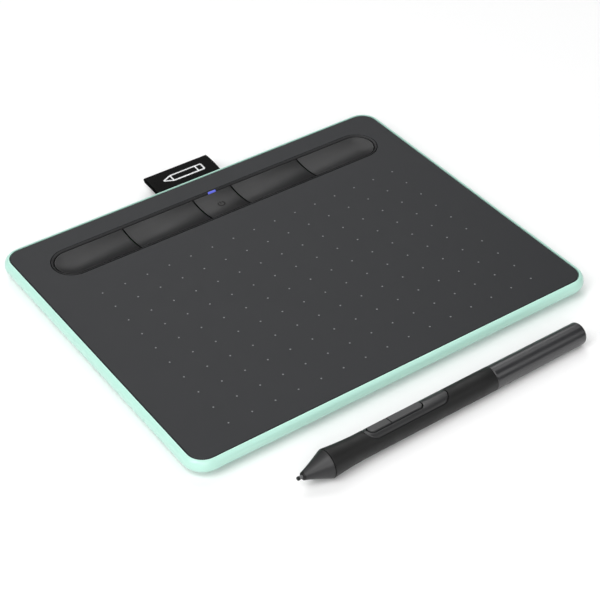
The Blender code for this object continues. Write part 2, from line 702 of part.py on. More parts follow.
def make_nib(pen):
    """The worn-in plastic nib, the carrier it plugs into, and the spare nibs' shared shape."""
    def nib_profile(start):
        return [
            (start, 0),
            (start + 0.1 * MM, 0.4 * MM),
            (start + 0.7 * MM, NIB_RADIUS),
            (start + NIB_LENGTH, NIB_RADIUS),
            (start + NIB_LENGTH, 0),
        ]

    place("nib", turned("nib", nib_profile(0), THIN_SEGMENTS), "nib", pen)
    bore, outer = NIB_RADIUS + GAP, 2.2 * MM
    mouth, bottom, end = 15.0 * MM, NIB_LENGTH + GAP, 24.5 * MM
    carrier = [(mouth, bore), (mouth, outer), (end, outer), (end, 0), (bottom, 0), (bottom, bore)]
    place("nib_carrier", turned("nib_carrier", carrier, THIN_SEGMENTS), "trim", pen)
    holder_start, holder_end = 102.0 * MM, 113.0 * MM
    orbit = 2.0 * MM
    profile = [(holder_start, 0), (holder_start, 3.9 * MM), (holder_end, 3.9 * MM), (holder_end, 0)]
    holder = place("spare_nib_holder", turned("spare_nib_holder", profile, PEN_SEGMENTS), "trim", pen)
    spare_start = holder_start + 1.5 * MM
    shared = turned("spare_nib", nib_profile(spare_start), THIN_SEGMENTS)
    hole = tube_profile(spare_start - GAP, holder_end + GAP, NIB_RADIUS + GAP, 0)
    holes = []
    for i in range(3):
        turn = math.radians(90 + 120 * i)
        y, z = orbit * math.cos(turn), orbit * math.sin(turn)
        place(f"spare_nib_{i + 1}", shared, "nib", pen, (0, y, z))
        holes.append(moved(turned("spare_hole", hole, THIN_SEGMENTS), 0, y, z))
    combine(holder, several("spare_holes", holes), "DIFFERENCE")


def make_pen_insides(pen):
    """The coil round the nib, the pressure sensor behind it, the core tube and its board."""
    coil = turned("antenna_coil", tube_profile(9.5 * MM, 22.0 * MM, 2.9 * MM, 2.5 * MM), 16)
    place("antenna_coil", coil, "copper", pen)
    sensor = turned("pressure_sensor", tube_profile(25.4 * MM, 28.2 * MM, 2.9 * MM, 0), 16)
    place("pressure_sensor", sensor, "steel", pen)
    profile = tube_profile(CORE_START, CORE_END, CORE_RADIUS, CORE_BORE)
    core = place("core_tube", turned("core_tube", profile, PEN_SEGMENTS), "trim", pen)
    margin = 3 * GAP
    first, last = BUTTON_SPANS["switch_front"][0], BUTTON_SPANS["switch_rear"][1]
    low = (first - margin, -CORE_WINDOW_HALF, CORE_WINDOW_BOTTOM)
    high = (last + margin, CORE_WINDOW_HALF, FLARE_RADIUS)
    combine(core, box("core_window", low, high), "DIFFERENCE")
    board = box("pen_board", (29.0 * MM, -2.6 * MM, 0.8 * MM), (92.0 * MM, 2.6 * MM, 1.5 * MM))
    place("pen_board", board, "board", pen)


def make_grip(pen):
    """The soft sleeve, cut through for the side switch's plate."""
    steps = 6
    edge = 0.12 * MM
    flare = [FLARE_AT + edge + (FLARE_END - FLARE_AT - edge) * i / steps for i in range(steps + 1)]
    profile = [(FLARE_AT, SLEEVE_BORE), (FLARE_AT, FLARE_RADIUS - edge)]
    profile += [(s, grip_radius(s)) for s in flare]
    profile += [(GRIP_END - edge, PEN_RADIUS), (GRIP_END, PEN_RADIUS - edge), (GRIP_END, SLEEVE_BORE)]
    sleeve = place("grip_sleeve", turned("grip_sleeve", profile, PEN_SEGMENTS), "grip", pen)
    combine(sleeve, plate_prism("switch_pocket", GAP), "DIFFERENCE")


def plate_prism(name, margin):
    """The plate's outline, drawn down through the upper half of the pen."""
    outline = stadium_outline(PLATE_SPAN[0] + PLATE_HALF, PLATE_SPAN[1] - PLATE_HALF, PLATE_HALF + margin)
    return prism(name, outline, 0, 2 * FLARE_RADIUS)


def button_outline(start, end, half, round_start, round_end, steps=6):
    """A bar along X whose ends are each square or round."""
    right = arc(end - half, 0, half, -90, 90, steps) if round_end else [(end, -half), (end, half)]
    left = arc(start + half, 0, half, 90, 270, steps) if round_start else [(start, half), (start, -half)]
    return right + left


def make_side_switch(pen):
    """The curved plate let into the sleeve, its two buttons and the press switches under them."""
    profile = tube_profile(PLATE_SPAN[0] - GAP, PLATE_SPAN[1] + GAP, PEN_RADIUS, SLEEVE_BORE)
    plate = place("switch_plate", turned("switch_plate", profile, PEN_SEGMENTS), "trim", pen)
    combine(plate, plate_prism("plate_shape", 0), "INTERSECT")
    first, last = BUTTON_SPANS["switch_front"][0], BUTTON_SPANS["switch_rear"][1]
    hole = button_outline(first - GAP, last + GAP, BUTTON_HALF + GAP, True, True)
    combine(plate, prism("plate_window", hole, 0, FLARE_RADIUS), "DIFFERENCE")
    edge = 0.25 * MM
    for name, (start, end) in BUTTON_SPANS.items():
        front = name == "switch_front"
        middle = (start + end) / 2
        low, high = start - middle, end - middle
        side = button_outline(low, high, BUTTON_HALF, front, not front)
        crown = button_outline(low + edge, high - edge, BUTTON_HALF - edge, front, not front)
        rings = [
            at_height(side, BUTTON_BOTTOM),
            at_height(side, BUTTON_TOP - edge),
            at_height(crown, BUTTON_TOP),
        ]
        place(name, skin(name, rings), "key", pen, (middle, 0, 0))
        half = 1.5 * MM
        contact = box(f"{name}_contact", (-half, -half, 1.8 * MM), (half, half, 2.4 * MM))
        place(f"{name}_contact", contact, "steel", pen, (middle, 0, 0))


def make_rear_barrel(pen):
    """The satin barrel, which pulls off over the core tube; its tail has a rounded edge."""
    start, end = GRIP_END + GAP, PEN_LENGTH
    edge = 0.15 * MM
    profile = [(start, SLEEVE_BORE), (start, BARREL_RADIUS - edge), (start + edge, BARREL_RADIUS)]
    profile += arc(end - TAIL_ROUND, TAIL_RADIUS - TAIL_ROUND, TAIL_ROUND, 90, 0, 4)
    floor = end - 1.5 * MM
    profile += [(end, 0), (floor, 0), (floor, SLEEVE_BORE - TAIL_ROUND)]
    profile += [(floor - TAIL_ROUND, SLEEVE_BORE - edge), (CORE_END + TAIL_ROUND, SLEEVE_BORE - edge)]
    profile += [(CORE_END + edge, SLEEVE_BORE)]
    place("rear_barrel", turned("rear_barrel", profile, PEN_SEGMENTS), "barrel", pen)


def make_tablet():
    tablet = bpy.data.objects.new("tablet", None)
    tablet.location = (0, -SET_CENTRE_Y, 0)
    bpy.context.scene.collection.objects.link(tablet)
    make_case(tablet)
    make_cover(tablet)
    make_bezel(tablet)
    make_keys(tablet)
    make_light(tablet)
    make_main_board(tablet)
    make_sensor_stack(tablet)
    make_leads(tablet)
    make_socket(tablet)
    make_feet(tablet)
    make_screws(tablet)
    make_loop(tablet)


def make_pen():
    """The pen lies with its buttons up; its flare and its tail touch the table."""
    pen = bpy.data.objects.new("pen_axis", None)
    lie = Matrix.Rotation(PEN_YAW, 4, "Z") @ Matrix.Rotation(PEN_TILT, 4, "Y")
    heading = lie @ Matrix.Rotation(PEN_ROLL, 4, "X")
    flare = Vector((PEN_TIP_X + FLARE_AT, PEN_FLARE_Y - SET_CENTRE_Y, FLARE_RADIUS * math.cos(PEN_TILT)))
    pen.matrix_world = Matrix.Translation(flare) @ heading @ Matrix.Translation((-FLARE_AT, 0, 0))
    bpy.context.scene.collection.objects.link(pen)
    make_nose(pen)
    make_nib(pen)
    make_pen_insides(pen)
    make_grip(pen)
    make_side_switch(pen)
    make_rear_barrel(pen)


clear_scene()
make_tablet()
make_pen()
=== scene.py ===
"""Looks for the pen drawing tablet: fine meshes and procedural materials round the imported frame."""

import json
import math

import bmesh
import bpy
import numpy as np
from mathutils import Matrix, Vector


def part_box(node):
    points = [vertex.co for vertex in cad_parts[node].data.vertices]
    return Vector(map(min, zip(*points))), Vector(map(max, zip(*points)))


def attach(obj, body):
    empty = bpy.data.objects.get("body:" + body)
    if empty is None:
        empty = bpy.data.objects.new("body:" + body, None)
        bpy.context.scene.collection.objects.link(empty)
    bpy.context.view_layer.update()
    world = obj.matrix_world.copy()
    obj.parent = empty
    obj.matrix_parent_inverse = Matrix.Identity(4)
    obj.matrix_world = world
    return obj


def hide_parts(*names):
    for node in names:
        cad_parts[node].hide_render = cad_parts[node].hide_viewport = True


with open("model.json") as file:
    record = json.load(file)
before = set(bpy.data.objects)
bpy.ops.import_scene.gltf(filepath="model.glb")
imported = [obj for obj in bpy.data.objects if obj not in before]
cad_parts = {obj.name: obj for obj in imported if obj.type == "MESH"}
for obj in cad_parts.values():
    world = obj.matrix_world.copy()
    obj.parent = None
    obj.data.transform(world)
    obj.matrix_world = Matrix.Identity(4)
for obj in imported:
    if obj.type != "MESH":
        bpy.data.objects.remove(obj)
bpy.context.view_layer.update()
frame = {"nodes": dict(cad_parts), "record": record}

MM = 0.001

# ---- measures taken from the frame

def corners(node):
    """The low and the high corner of a CAD node's box."""
    return [Vector(corner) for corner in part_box(node)]


def middle_and_half(low, high):
    """Where a box has its middle along X, and half its width."""
    return (high.x + low.x) / 2, (high.x - low.x) / 2


CASE_LOW, CASE_HIGH = corners("bottom_case")
COVER_LOW, COVER_HIGH = corners("top_cover")
BEZEL_LOW, BEZEL_HIGH = corners("key_bezel")
LENS_LOW, LENS_HIGH = corners("status_lens")
LOOP_LOW, LOOP_HIGH = corners("pen_loop")
SOCKET_LOW, SOCKET_HIGH = corners("usb_socket")

MIDDLE = (COVER_LOW + COVER_HIGH) / 2
PANEL_HALF_X = (COVER_HIGH.x - COVER_LOW.x) / 2
PANEL_HALF_Y = (COVER_HIGH.y - COVER_LOW.y) / 2
TOP = COVER_HIGH.z
RIM_WIDTH = CASE_HIGH.x - COVER_HIGH.x
UNDERSIDE = CASE_LOW.z
LENS_X, LENS_HALF = middle_and_half(LENS_LOW, LENS_HIGH)
LOOP_X, LOOP_HALF = middle_and_half(LOOP_LOW, LOOP_HIGH)
SOCKET_X, SOCKET_HALF = middle_and_half(SOCKET_LOW, SOCKET_HIGH)
FOOT_RADIUS = middle_and_half(*corners("rubber_foot_1"))[1]

STRIP = (BEZEL_LOW + BEZEL_HIGH) / 2    # the middle of the key strip
SPINE_HALF = (BEZEL_HIGH.x - BEZEL_LOW.x - BEZEL_HIGH.y + BEZEL_LOW.y) / 2

# Measures that the boxes don't give: the frame's own, or a rounding within them
GAP = 0.3 * MM              # between neighbours
PANEL_RADIUS = 7.0 * MM     # the panel's corners
RIM_WIDEST = 5.6 * MM       # height at which the rim stands out furthest
TAPER_INSET = 6.0 * MM      # how far inside the panel the flat underside starts
UNDER_RADIUS = 5.0 * MM     # the underside's corners
COVER_BOTTOM = 7.3 * MM
BEZEL_BOTTOM = 7.2 * MM
KEY_RADIUS = 8.15 * MM      # half the keys' width
BEZEL_INNER = 8.45 * MM
BEZEL_OUTER = 9.45 * MM
KEY_EDGE_Z = 8.35 * MM      # the top of the keys at their edge
KEY_SCOOP = 1.05 * MM       # how far their middle lies below it
KEY_SKIRT_Z = 6.6 * MM
LOOP_THICKNESS = 0.6 * MM

SHARP_ANGLE = 32            # degrees, above which an edge is drawn sharp
BEVEL_SHARP_ANGLE = 60


def linear(red, green, blue):
    """A display colour, 0 to 255, as the linear values that shaders take."""
    def one(value):
        share = value / 255
        return share / 12.92 if share <= 0.04045 else ((share + 0.055) / 1.055) ** 2.4
    return (one(red), one(green), one(blue), 1.0)


# ---- mesh helpers

def shown(name, data):
    """A new object in the scene."""
    item = bpy.data.objects.new(name, data)
    bpy.context.scene.collection.objects.link(item)
    return item


def smoothed(mesh, sharp_angle=SHARP_ANGLE):
    mesh.shade_smooth()
    mesh.set_sharp_from_angle(angle=math.radians(sharp_angle))
    return mesh


def as_mesh(name, bm):
    mesh = bpy.data.meshes.new(name)
    bm.to_mesh(mesh)
    bm.free()
    return mesh


def to_mesh(name, bm, sharp_angle=SHARP_ANGLE):
    """The finished mesh: doubles merged, faces turned outward, smooth but for its sharp edges."""
    bmesh.ops.remove_doubles(bm, verts=bm.verts, dist=0.0005 * MM)
    bmesh.ops.recalc_face_normals(bm, faces=bm.faces)
    return smoothed(as_mesh(name, bm), sharp_angle)


def add_skin(bm, rings, closed=False):
    """Join rings of points with quads, and cap both ends or join the last ring to the first."""
    rows = [[bm.verts.new(point) for point in ring] for ring in rings]
    followers = rows[1:] + rows[:1] if closed else rows[1:]
    for row, after in zip(rows, followers):
        for i in range(len(row)):
            bm.faces.new((row[i - 1], row[i], after[i], after[i - 1]))
    if not closed:
        bm.faces.new(rows[0])
        bm.faces.new(rows[-1])
    return rows


def skin(name, rings, closed=False):
    """A mesh of its own from rings of points."""
    bm = bmesh.new()
    add_skin(bm, rings, closed)
    return to_mesh(name, bm)


def arc(centre_x, centre_y, radius, start, end, steps):
    """Points on an arc, both ends included; angles in degrees."""
    turns = [math.radians(start + (end - start) * i / steps) for i in range(steps + 1)]
    return [(centre_x + radius * math.cos(a), centre_y + radius * math.sin(a)) for a in turns]


def rounded_outline(half_x, half_y, radius, steps=16):
    """A rectangle with round corners, round the origin."""
    points = []
    for i, (side_x, side_y) in enumerate(((1, 1), (-1, 1), (-1, -1), (1, -1))):
        x, y = side_x * (half_x - radius), side_y * (half_y - radius)
        points += arc(x, y, radius, 90 * i, 90 * i + 90, steps)
    return points


def stadium_outline(start, end, radius):
    """A slot's outline, round at both ends; start and end are the middles of the rounds."""
    steps = 32
    return arc(end, 0, radius, -90, 90, steps) + arc(start, 0, radius, 90, 270, steps)


def at_height(outline, z, centre=(0, 0)):
    """An (x, y) outline as points in space."""
    return [Vector((x + centre[0], y + centre[1], z)) for x, y in outline]


def panel_ring(offset, z, radius=None):
    """The panel's outline, moved outward by offset."""
    rounding = max(PANEL_RADIUS + offset, 0.5 * MM) if radius is None else radius
    outline = rounded_outline(PANEL_HALF_X + offset, PANEL_HALF_Y + offset, rounding)
    return at_height(outline, z, MIDDLE)


def strip_ring(radius, z):
    """An outline that runs round the key strip at this distance from its spine."""
    return at_height(stadium_outline(-SPINE_HALF, SPINE_HALF, radius), z, STRIP)


def prism(name, outline, bottom, top):
    return skin(name, [at_height(outline, bottom), at_height(outline, top)])


def box(name, low, high):
    outline = [(low[0], low[1]), (high[0], low[1]), (high[0], high[1]), (low[0], high[1])]
    return prism(name, outline, low[2], high[2])


def turned(name, profile, segments, along="X", centre=(0, 0, 0), sharp_angle=SHARP_ANGLE):
    """Turn a closed outline of (distance along, radius) points about the X or the Z axis."""
    bm = bmesh.new()
    rows = []
    for distance, radius in profile:
        count = segments if radius > 0 else 1
        row = []
        for i in range(count):
            angle = 2 * math.pi * i / segments
            side, up = radius * math.sin(angle), radius * math.cos(angle)
            point = (distance, side, up) if along == "X" else (side, up, distance)
            row.append(bm.verts.new(Vector(point) + Vector(centre)))
        rows.append(row * (segments // count))
    for row, after in zip(rows, rows[1:] + rows[:1]):
        for i in range(segments):
            face = list(dict.fromkeys((row[i - 1], row[i], after[i], after[i - 1])))
            if len(face) > 2:
                bm.faces.new(face)
    return to_mesh(name, bm, sharp_angle)


def several(name, meshes):
    """Put meshes that do not touch into one."""
    bm = bmesh.new()
    for mesh in meshes:
        bm.from_mesh(mesh)
        bpy.data.meshes.remove(mesh)
    return to_mesh(name, bm)


def evaluated(mesh, modifiers):
    """The mesh as it is after a list of (modifier type, settings)."""
    holder = shown("holder", mesh)
    for kind, settings in modifiers:
        modifier = holder.modifiers.new(kind, kind)
        for key, value in settings.items():
            setattr(modifier, key, value)
    bpy.context.view_layer.update()
    depsgraph = bpy.context.evaluated_depsgraph_get()
    result = bpy.data.meshes.new_from_object(holder.evaluated_get(depsgraph))
    bpy.data.objects.remove(holder)
    result.name = mesh.name
    return result


def carve(mesh, tool_mesh):
    """Cut a tool away from a mesh with an exact Boolean."""
    tool = shown("tool", tool_mesh)
    settings = {"operation": "DIFFERENCE", "solver": "EXACT", "object": tool}
    cut = evaluated(mesh, [("BOOLEAN", settings)])
    bpy.data.objects.remove(tool)
    bpy.data.meshes.remove(tool_mesh)
    return smoothed(cut)


def bevelled(mesh, width, segments=3):
    """Round every edge that turns by more than 40 degrees."""
    settings = {
        "width": width,
        "segments": segments,
        "limit_method": "ANGLE",
        "angle_limit": math.radians(40),
        "use_clamp_overlap": True,
    }
    return smoothed(evaluated(mesh, [("BEVEL", settings)]), BEVEL_SHARP_ANGLE)


def flat_weighted(mesh):
    """Give large faces the say over the normals of the vertices that they share."""
    return evaluated(mesh, [("WEIGHTED_NORMAL", {"keep_sharp": True, "weight": 50})])


def add_piece(name, mesh, body, slot, nodes=(), look=None):
    """Show a mesh on a body, in place of CAD nodes and in its slot's look unless it has another."""
    piece = shown(name, mesh)
    mesh.materials.clear()
    mesh.materials.append(look or LOOKS[slot])
    bpy.context.view_layer.update()
    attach(piece, body)
    if nodes:
        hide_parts(*nodes)
    return piece


def add_pen_piece(name, mesh, body, slot, nodes=(), look=None):
    """The same for a mesh that was made along the pen's own axes."""
    mesh.transform(PEN)
    add_piece(name, mesh, body, slot, nodes, look)


# ---- material helpers

class Look:
    """A Principled material with its node tree at hand."""

    def __init__(self, name, colour, roughness, metallic=0.0, **sockets):
        self.material = bpy.data.materials.new(name)
        self.material.use_nodes = True
        self.nodes = self.material.node_tree.nodes
        self.links = self.material.node_tree.links
        self.shader = self.nodes["Principled BSDF"]
        self.colour = colour
        self.set(self.shader, "Base Color", colour)
        self.set(self.shader, "Roughness", roughness)
        self.set(self.shader, "Metallic", metallic)
        for socket, value in sockets.items():
            self.set(self.shader, socket.replace("_", " "), value)
        self.place = self.nodes.new("ShaderNodeTexCoord").outputs["Object"]
        self.height = None

    @staticmethod
    def set(node, socket, value):
        node.inputs[socket].default_value = value

    def noise(self, size, detail=2.0, stretch=(1, 1, 1)):
        """A noise from 0 to 1 whose blotches are about this size, in metres."""
        mapping = self.nodes.new("ShaderNodeMapping")
        self.set(mapping, "Scale", [s / size for s in stretch])
        self.links.new(self.place, mapping.inputs["Vector"])
        texture = self.nodes.new("ShaderNodeTexNoise")
        self.set(texture, "Scale", 1.0)
        self.set(texture, "Detail", detail)
        self.links.new(mapping.outputs["Vector"], texture.inputs["Vector"])
        return texture.outputs["Fac"]

    def spread(self, value, low, high):
        """Stretch the middle of a noise, where most of it lies, over a range."""
        ranged = self.nodes.new("ShaderNodeMapRange")
        for socket, number in (("From Min", 0.3), ("From Max", 0.7), ("To Min", low), ("To Max", high)):
            self.set(ranged, socket, number)
        self.links.new(value, ranged.inputs["Value"])
        return ranged.outputs["Result"]

    def vary_roughness(self, value, low, high):
        self.links.new(self.spread(value, low, high), self.shader.inputs["Roughness"])

    def mix_colour(self, value, first, second):
        """Blend two colours by a value and give the shader the result."""
        mix = self.nodes.new("ShaderNodeMix")
        mix.data_type = "RGBA"
        colours = [socket for socket in mix.inputs if socket.type == "RGBA"]
        for socket, colour in zip(colours, (first, second)):
            socket.default_value = colour
        self.links.new(value, mix.inputs[0])
        result = next(socket for socket in mix.outputs if socket.type == "RGBA")
        self.links.new(result, self.shader.inputs["Base Color"])

    def vary_colour(self, value, amount):
        """Lighten and darken the base colour by a share of itself."""
        darker = tuple(c * (1 - amount) for c in self.colour[:3]) + (1.0,)
        lighter = tuple(min(c * (1 + amount), 1) for c in self.colour[:3]) + (1.0,)
        self.mix_colour(self.spread(value, 0, 1), darker, lighter)

    def bump(self, value, depth):
        """Add a relief of this depth, in metres, on top of any that is there."""
        node = self.nodes.new("ShaderNodeBump")
        self.set(node, "Distance", depth)
        self.set(node, "Strength", 1.0)
        self.links.new(value, node.inputs["Height"])
        if self.height is not None:
            self.links.new(self.height, node.inputs["Normal"])
        self.height = node.outputs["Normal"]
        self.links.new(self.height, self.shader.inputs["Normal"])


def moulded(name, colour, roughness, grain=0.25 * MM, depth=0.004 * MM, drift=0.04, **sockets):
    """Moulded plastic: a fine spark-eroded grain, and a faint drift in the colour and the gloss."""
    look = Look(name, colour, roughness, **sockets)
    look.vary_colour(look.noise(18 * MM, 3.0), drift)
    look.vary_roughness(look.noise(9 * MM, 4.0), roughness - drift, roughness + drift)
    look.bump(look.noise(grain, 2.0), depth)
    return look.material


def soft_rubber(name, colour, roughness, specular=0.3):
    """Matt rubber, a little cloudy and finely pitted."""
    look = Look(name, colour, roughness, Specular_IOR_Level=specular)
    look.vary_colour(look.noise(7 * MM, 4.0), 0.10)
    look.vary_roughness(look.noise(4 * MM, 4.0), roughness - 0.06, roughness + 0.06)
    look.bump(look.noise(0.12 * MM, 3.0), 0.006 * MM)
    return look.material


def plain_steel(name):
    """Bright steel, brushed along Y."""
    look = Look(name, linear(190, 190, 192), 0.28, 1.0)
    look.vary_roughness(look.noise(1.5 * MM, 3.0, (1, 8, 1)), 0.2, 0.38)
    look.bump(look.noise(0.2 * MM, 2.0, (1, 10, 1)), 0.002 * MM)
    return look.material


def circuit_board(name):
    """Green lacquer over copper tracks, which stand out a little and show lighter."""
    lacquer, over_copper = linear(16, 84, 52), linear(38, 120, 70)
    black, white = (0, 0, 0, 1), (1, 1, 1, 1)
    look = Look(name, lacquer, 0.35, Coat_Weight=0.5, Coat_Roughness=0.15)
    tracks = look.nodes.new("ShaderNodeTexBrick")
    look.set(tracks, "Scale", 1 / (6 * MM))
    look.set(tracks, "Mortar Size", 0.03)
    look.set(tracks, "Color1", black)
    look.set(tracks, "Color2", black)
    look.set(tracks, "Mortar", white)
    look.links.new(look.place, tracks.inputs["Vector"])
    look.mix_colour(tracks.outputs["Fac"], lacquer, over_copper)
    look.bump(tracks.outputs["Fac"], 0.03 * MM)
    return look.material


def foil_pouch(name):
    """The battery's foil, softly crumpled."""
    look = Look(name, linear(176, 178, 182), 0.35, 0.7)
    look.vary_colour(look.noise(8 * MM, 3.0), 0.08)
    look.bump(look.noise(2.5 * MM, 4.0), 0.08 * MM)
    return look.material


def lit_lens(name):
    """A small lens that glows blue."""
    glow = linear(128, 138, 255)
    look = Look(name, linear(40, 46, 140), 0.25, Emission_Color=glow, Emission_Strength=0.5)
    look.vary_colour(look.noise(0.8 * MM, 2.0), 0.06)
    look.bump(look.noise(0.3 * MM, 2.0), 0.004 * MM)
    return look.material


def woven(name, colour):
    """A tight plain weave read from the ribbon's own length and width; its colour is darker in the hollows
    between threads and lighter on their crowns, painted shade and painted highlights.
    """
    thread = 0.32 * MM
    wave_length = 0.314     # of a wave texture at scale 1
    look = Look(name, colour, 0.85, Specular_IOR_Level=0.12, Sheen_Weight=0.02, Sheen_Roughness=0.4)
    uv = look.nodes.new("ShaderNodeUVMap")
    uv.uv_map = "cloth"
    heights = []
    for direction in ("X", "Y"):
        wave = look.nodes.new("ShaderNodeTexWave")
        wave.wave_type = "BANDS"
        wave.bands_direction = direction
        look.set(wave, "Scale", wave_length / thread)
        look.set(wave, "Distortion", 0.4)
        look.links.new(uv.outputs["UV"], wave.inputs["Vector"])
        heights.append(wave.outputs["Fac"])
    weave_relief_and_shade = look.nodes.new("ShaderNodeMath")
    weave_relief_and_shade.operation = "MULTIPLY"
    look.links.new(heights[0], weave_relief_and_shade.inputs[0])
    look.links.new(heights[1], weave_relief_and_shade.inputs[1])
    # Painted shade and painted highlights: the colour darkens where the weave sinks and lightens where it
    # rises, following the bump's relief.
    darker = tuple(c * 0.45 for c in colour[:3]) + (1.0,)
    lighter = tuple(c * 1.7 for c in colour[:3]) + (1.0,)
    look.mix_colour(weave_relief_and_shade.outputs[0], darker, lighter)
    look.bump(weave_relief_and_shade.outputs[0], 0.05 * MM)
    look.bump(look.noise(0.06 * MM, 2.0), 0.01 * MM)
    return look.material


# One look for each of the record's material slots, and a few that only single pieces have
LOOKS = {
    "case_mint": moulded("mint_plastic", linear(180, 223, 209), 0.34, depth=0.001 * MM, drift=0.015,
                         Coat_Weight=0.25, Coat_Roughness=0.12),
    "top_panel": moulded("panel_plastic", linear(40, 41, 43), 0.44, 0.18 * MM, 0.006 * MM, 0.012,
                         Specular_IOR_Level=0.175),
    "key_plastic": moulded("key_plastic", linear(22, 22, 23), 0.35, 0.2 * MM, 0.003 * MM, 0.02,
                           Specular_IOR_Level=0.27),
    "trim_plastic": moulded("trim_plastic", linear(33, 33, 34), 0.40, Specular_IOR_Level=0.3),
    # A lighter copy of the plate's plastic: painted highlight on the buttons' flat tops.
    "button_highlight_plastic": moulded("button_highlight_plastic", linear(52, 52, 53), 0.38, Specular_IOR_Level=0.6),
    "plate_plastic": moulded("plate_plastic", linear(36, 36, 37), 0.38, Specular_IOR_Level=0.6),
    "foot_rubber": soft_rubber("foot_rubber", linear(40, 40, 41), 0.85),
    "bare_steel": plain_steel("bare_steel"),
    "light_lens": lit_lens("light_lens"),
    "circuit_board": circuit_board("circuit_board"),
    "chip_black": moulded("chip_plastic", linear(28, 28, 30), 0.5),
    "battery_pouch": foil_pouch("battery_pouch"),
    "copper": moulded("copper_foil", linear(190, 120, 80), 0.35, Metallic=1.0),
    "lead_sleeve": soft_rubber("lead_sleeve", linear(45, 45, 46), 0.6),
    "woven_ribbon": woven("woven_ribbon", linear(15, 15, 15)),
    "grip_rubber": soft_rubber("grip_rubber", linear(17, 17, 17), 0.52, 0.4),
    "barrel_satin": moulded("barrel_plastic", linear(38, 38, 40), 0.31, 0.3 * MM, 0.0005 * MM,
                            Specular_IOR_Level=0.85),
    "nose_plastic": moulded("nose_plastic", linear(30, 30, 31), 0.45, 0.3 * MM, 0.0005 * MM),
    # Darker than the nose's plastic: painted shade on the nose's front end and on the nib's point.
    "tip_black": moulded("tip_shade_plastic", linear(14, 14, 14), 0.45, Specular_IOR_Level=0.3),
    # Light grey against the dark point: painted highlight along the nib's shaft.
    "nib_plastic": moulded("nib_plastic", linear(96, 96, 97), 0.45),
}


def dress_frame():
    """Give every CAD node that stays on show the material of its slot."""
    for part in frame["record"]["subparts"]:
        node = frame["nodes"][part["node"]]
        node.data.materials.clear()
        node.data.materials.append(LOOKS[part["material_slot"]])


# ---- tablet

def spots(prefix):
    """The middle of each CAD node whose name starts so."""
    names = sorted(name for name in frame["nodes"] if name.startswith(prefix))
    return {name: sum(corners(name), Vector()) / 2 for name in names}


def rim_section():
    """(offset, height) from the middle of the underside round the rim to the lip beside the panel."""
    below, above = 25, 20   # steps under and over the widest point
    reach, drop, rise = TAPER_INSET + RIM_WIDTH, RIM_WIDEST - UNDERSIDE, TOP - RIM_WIDEST
    section = [(-TAPER_INSET, UNDERSIDE)]
    for i in range(1, below):
        turn = math.radians(90 * i / below)
        section.append((reach * math.sin(turn) - TAPER_INSET, RIM_WIDEST - drop * math.cos(turn)))
    for i in range(above + 1):
        turn = math.radians(90 * i / above)
        section.append((GAP + (RIM_WIDTH - GAP) * math.cos(turn), RIM_WIDEST + rise * math.sin(turn)))
    return section


def round_cuts(prefix, radius, top, chamfer, segments):
    """The cutters for chamfered round holes in the underside, one over each node of a name."""
    profile = [(0, 0), (0, radius + chamfer), (UNDERSIDE, radius + chamfer)]
    profile += [(UNDERSIDE + chamfer, radius), (top, radius), (top, 0)]
    return [turned("hole", profile, segments, "Z", (spot.x, spot.y, 0)) for spot in spots(prefix).values()]


def far_edge_cuts():
    """The cutters for the ribbon's slot and the socket's window, through the far edge."""
    back, inside = CASE_HIGH.y + 5 * MM, PANEL_HALF_Y + MIDDLE.y - 4 * MM
    slot_half, slot_low, slot_high = LOOP_HALF + 0.2 * MM, 3.0 * MM, 6.0 * MM
    slot = box("slot", (LOOP_X - slot_half, inside, slot_low), (LOOP_X + slot_half, back, slot_high))
    window_x = (SOCKET_LOW.x - GAP, SOCKET_HIGH.x + GAP)
    window_z = (SOCKET_LOW.z - GAP, SOCKET_HIGH.z + 0.2 * MM)
    half_x, half_z = (window_x[1] - window_x[0]) / 2, (window_z[1] - window_z[0]) / 2
    outline = rounded_outline(half_x, half_z, 0.7 * MM, 6)
    centre = (sum(window_x) / 2, sum(window_z) / 2)
    rings = [[Vector((x + centre[0], y, z + centre[1])) for x, z in outline] for y in (inside, back)]
    return [slot, skin("window", rings)]


def make_case():
    """The mint tray: a rounded rim over an underside that curves in, with its cut-outs."""
    rings = []
    for offset, z in rim_section():
        radius = PANEL_RADIUS + offset
        if z < RIM_WIDEST:
            radius = max(radius, UNDER_RADIUS)
        rings.append(panel_ring(offset, z, radius))
    ledge_z, wall_inset, wall_foot_z = 7.0 * MM, 1.2 * MM, 3.4 * MM
    floor_inset, floor_z = 3.5 * MM, 2.2 * MM
    inner = [(GAP, ledge_z), (-wall_inset, ledge_z), (-wall_inset, wall_foot_z)]
    rings += [panel_ring(offset, z) for offset, z in inner]
    rings.append(panel_ring(-floor_inset, floor_z, UNDER_RADIUS))
    case = skin("case_shell", rings)
    cuts = round_cuts("rubber_foot", FOOT_RADIUS + 0.2 * MM, UNDERSIDE + GAP, 0.15 * MM, 64)
    cuts += round_cuts("case_screw", 2.2 * MM, 2.0 * MM, 0.2 * MM, 40)
    cuts += far_edge_cuts()
    case = flat_weighted(carve(case, several("cuts", cuts)))
    add_piece("case_shell", case, "tablet", "case_mint", ["bottom_case"])


def make_panel():
    """The dark top panel with a softened edge all round and round the key strip."""
    edge, inset = 0.25 * MM, 0.12 * MM
    rings = [panel_ring(-inset, COVER_BOTTOM)]
    for x, z in arc(0, 0, edge, 0, 90, 5):
        rings.append(panel_ring(x - edge - inset, TOP - edge + z))
    panel = skin("panel", rings)
    opening = BEZEL_OUTER + GAP
    cutter = [strip_ring(opening, 0)]
    for x, z in arc(0, 0, edge, 180, 90, 5):
        cutter.append(strip_ring(opening + edge + x, TOP - edge + z))
    cutter.append(strip_ring(opening + edge, 2 * TOP))
    panel = flat_weighted(carve(panel, skin("opening", cutter)))
    add_piece("panel", panel, "tablet", "top_panel", ["top_cover"])


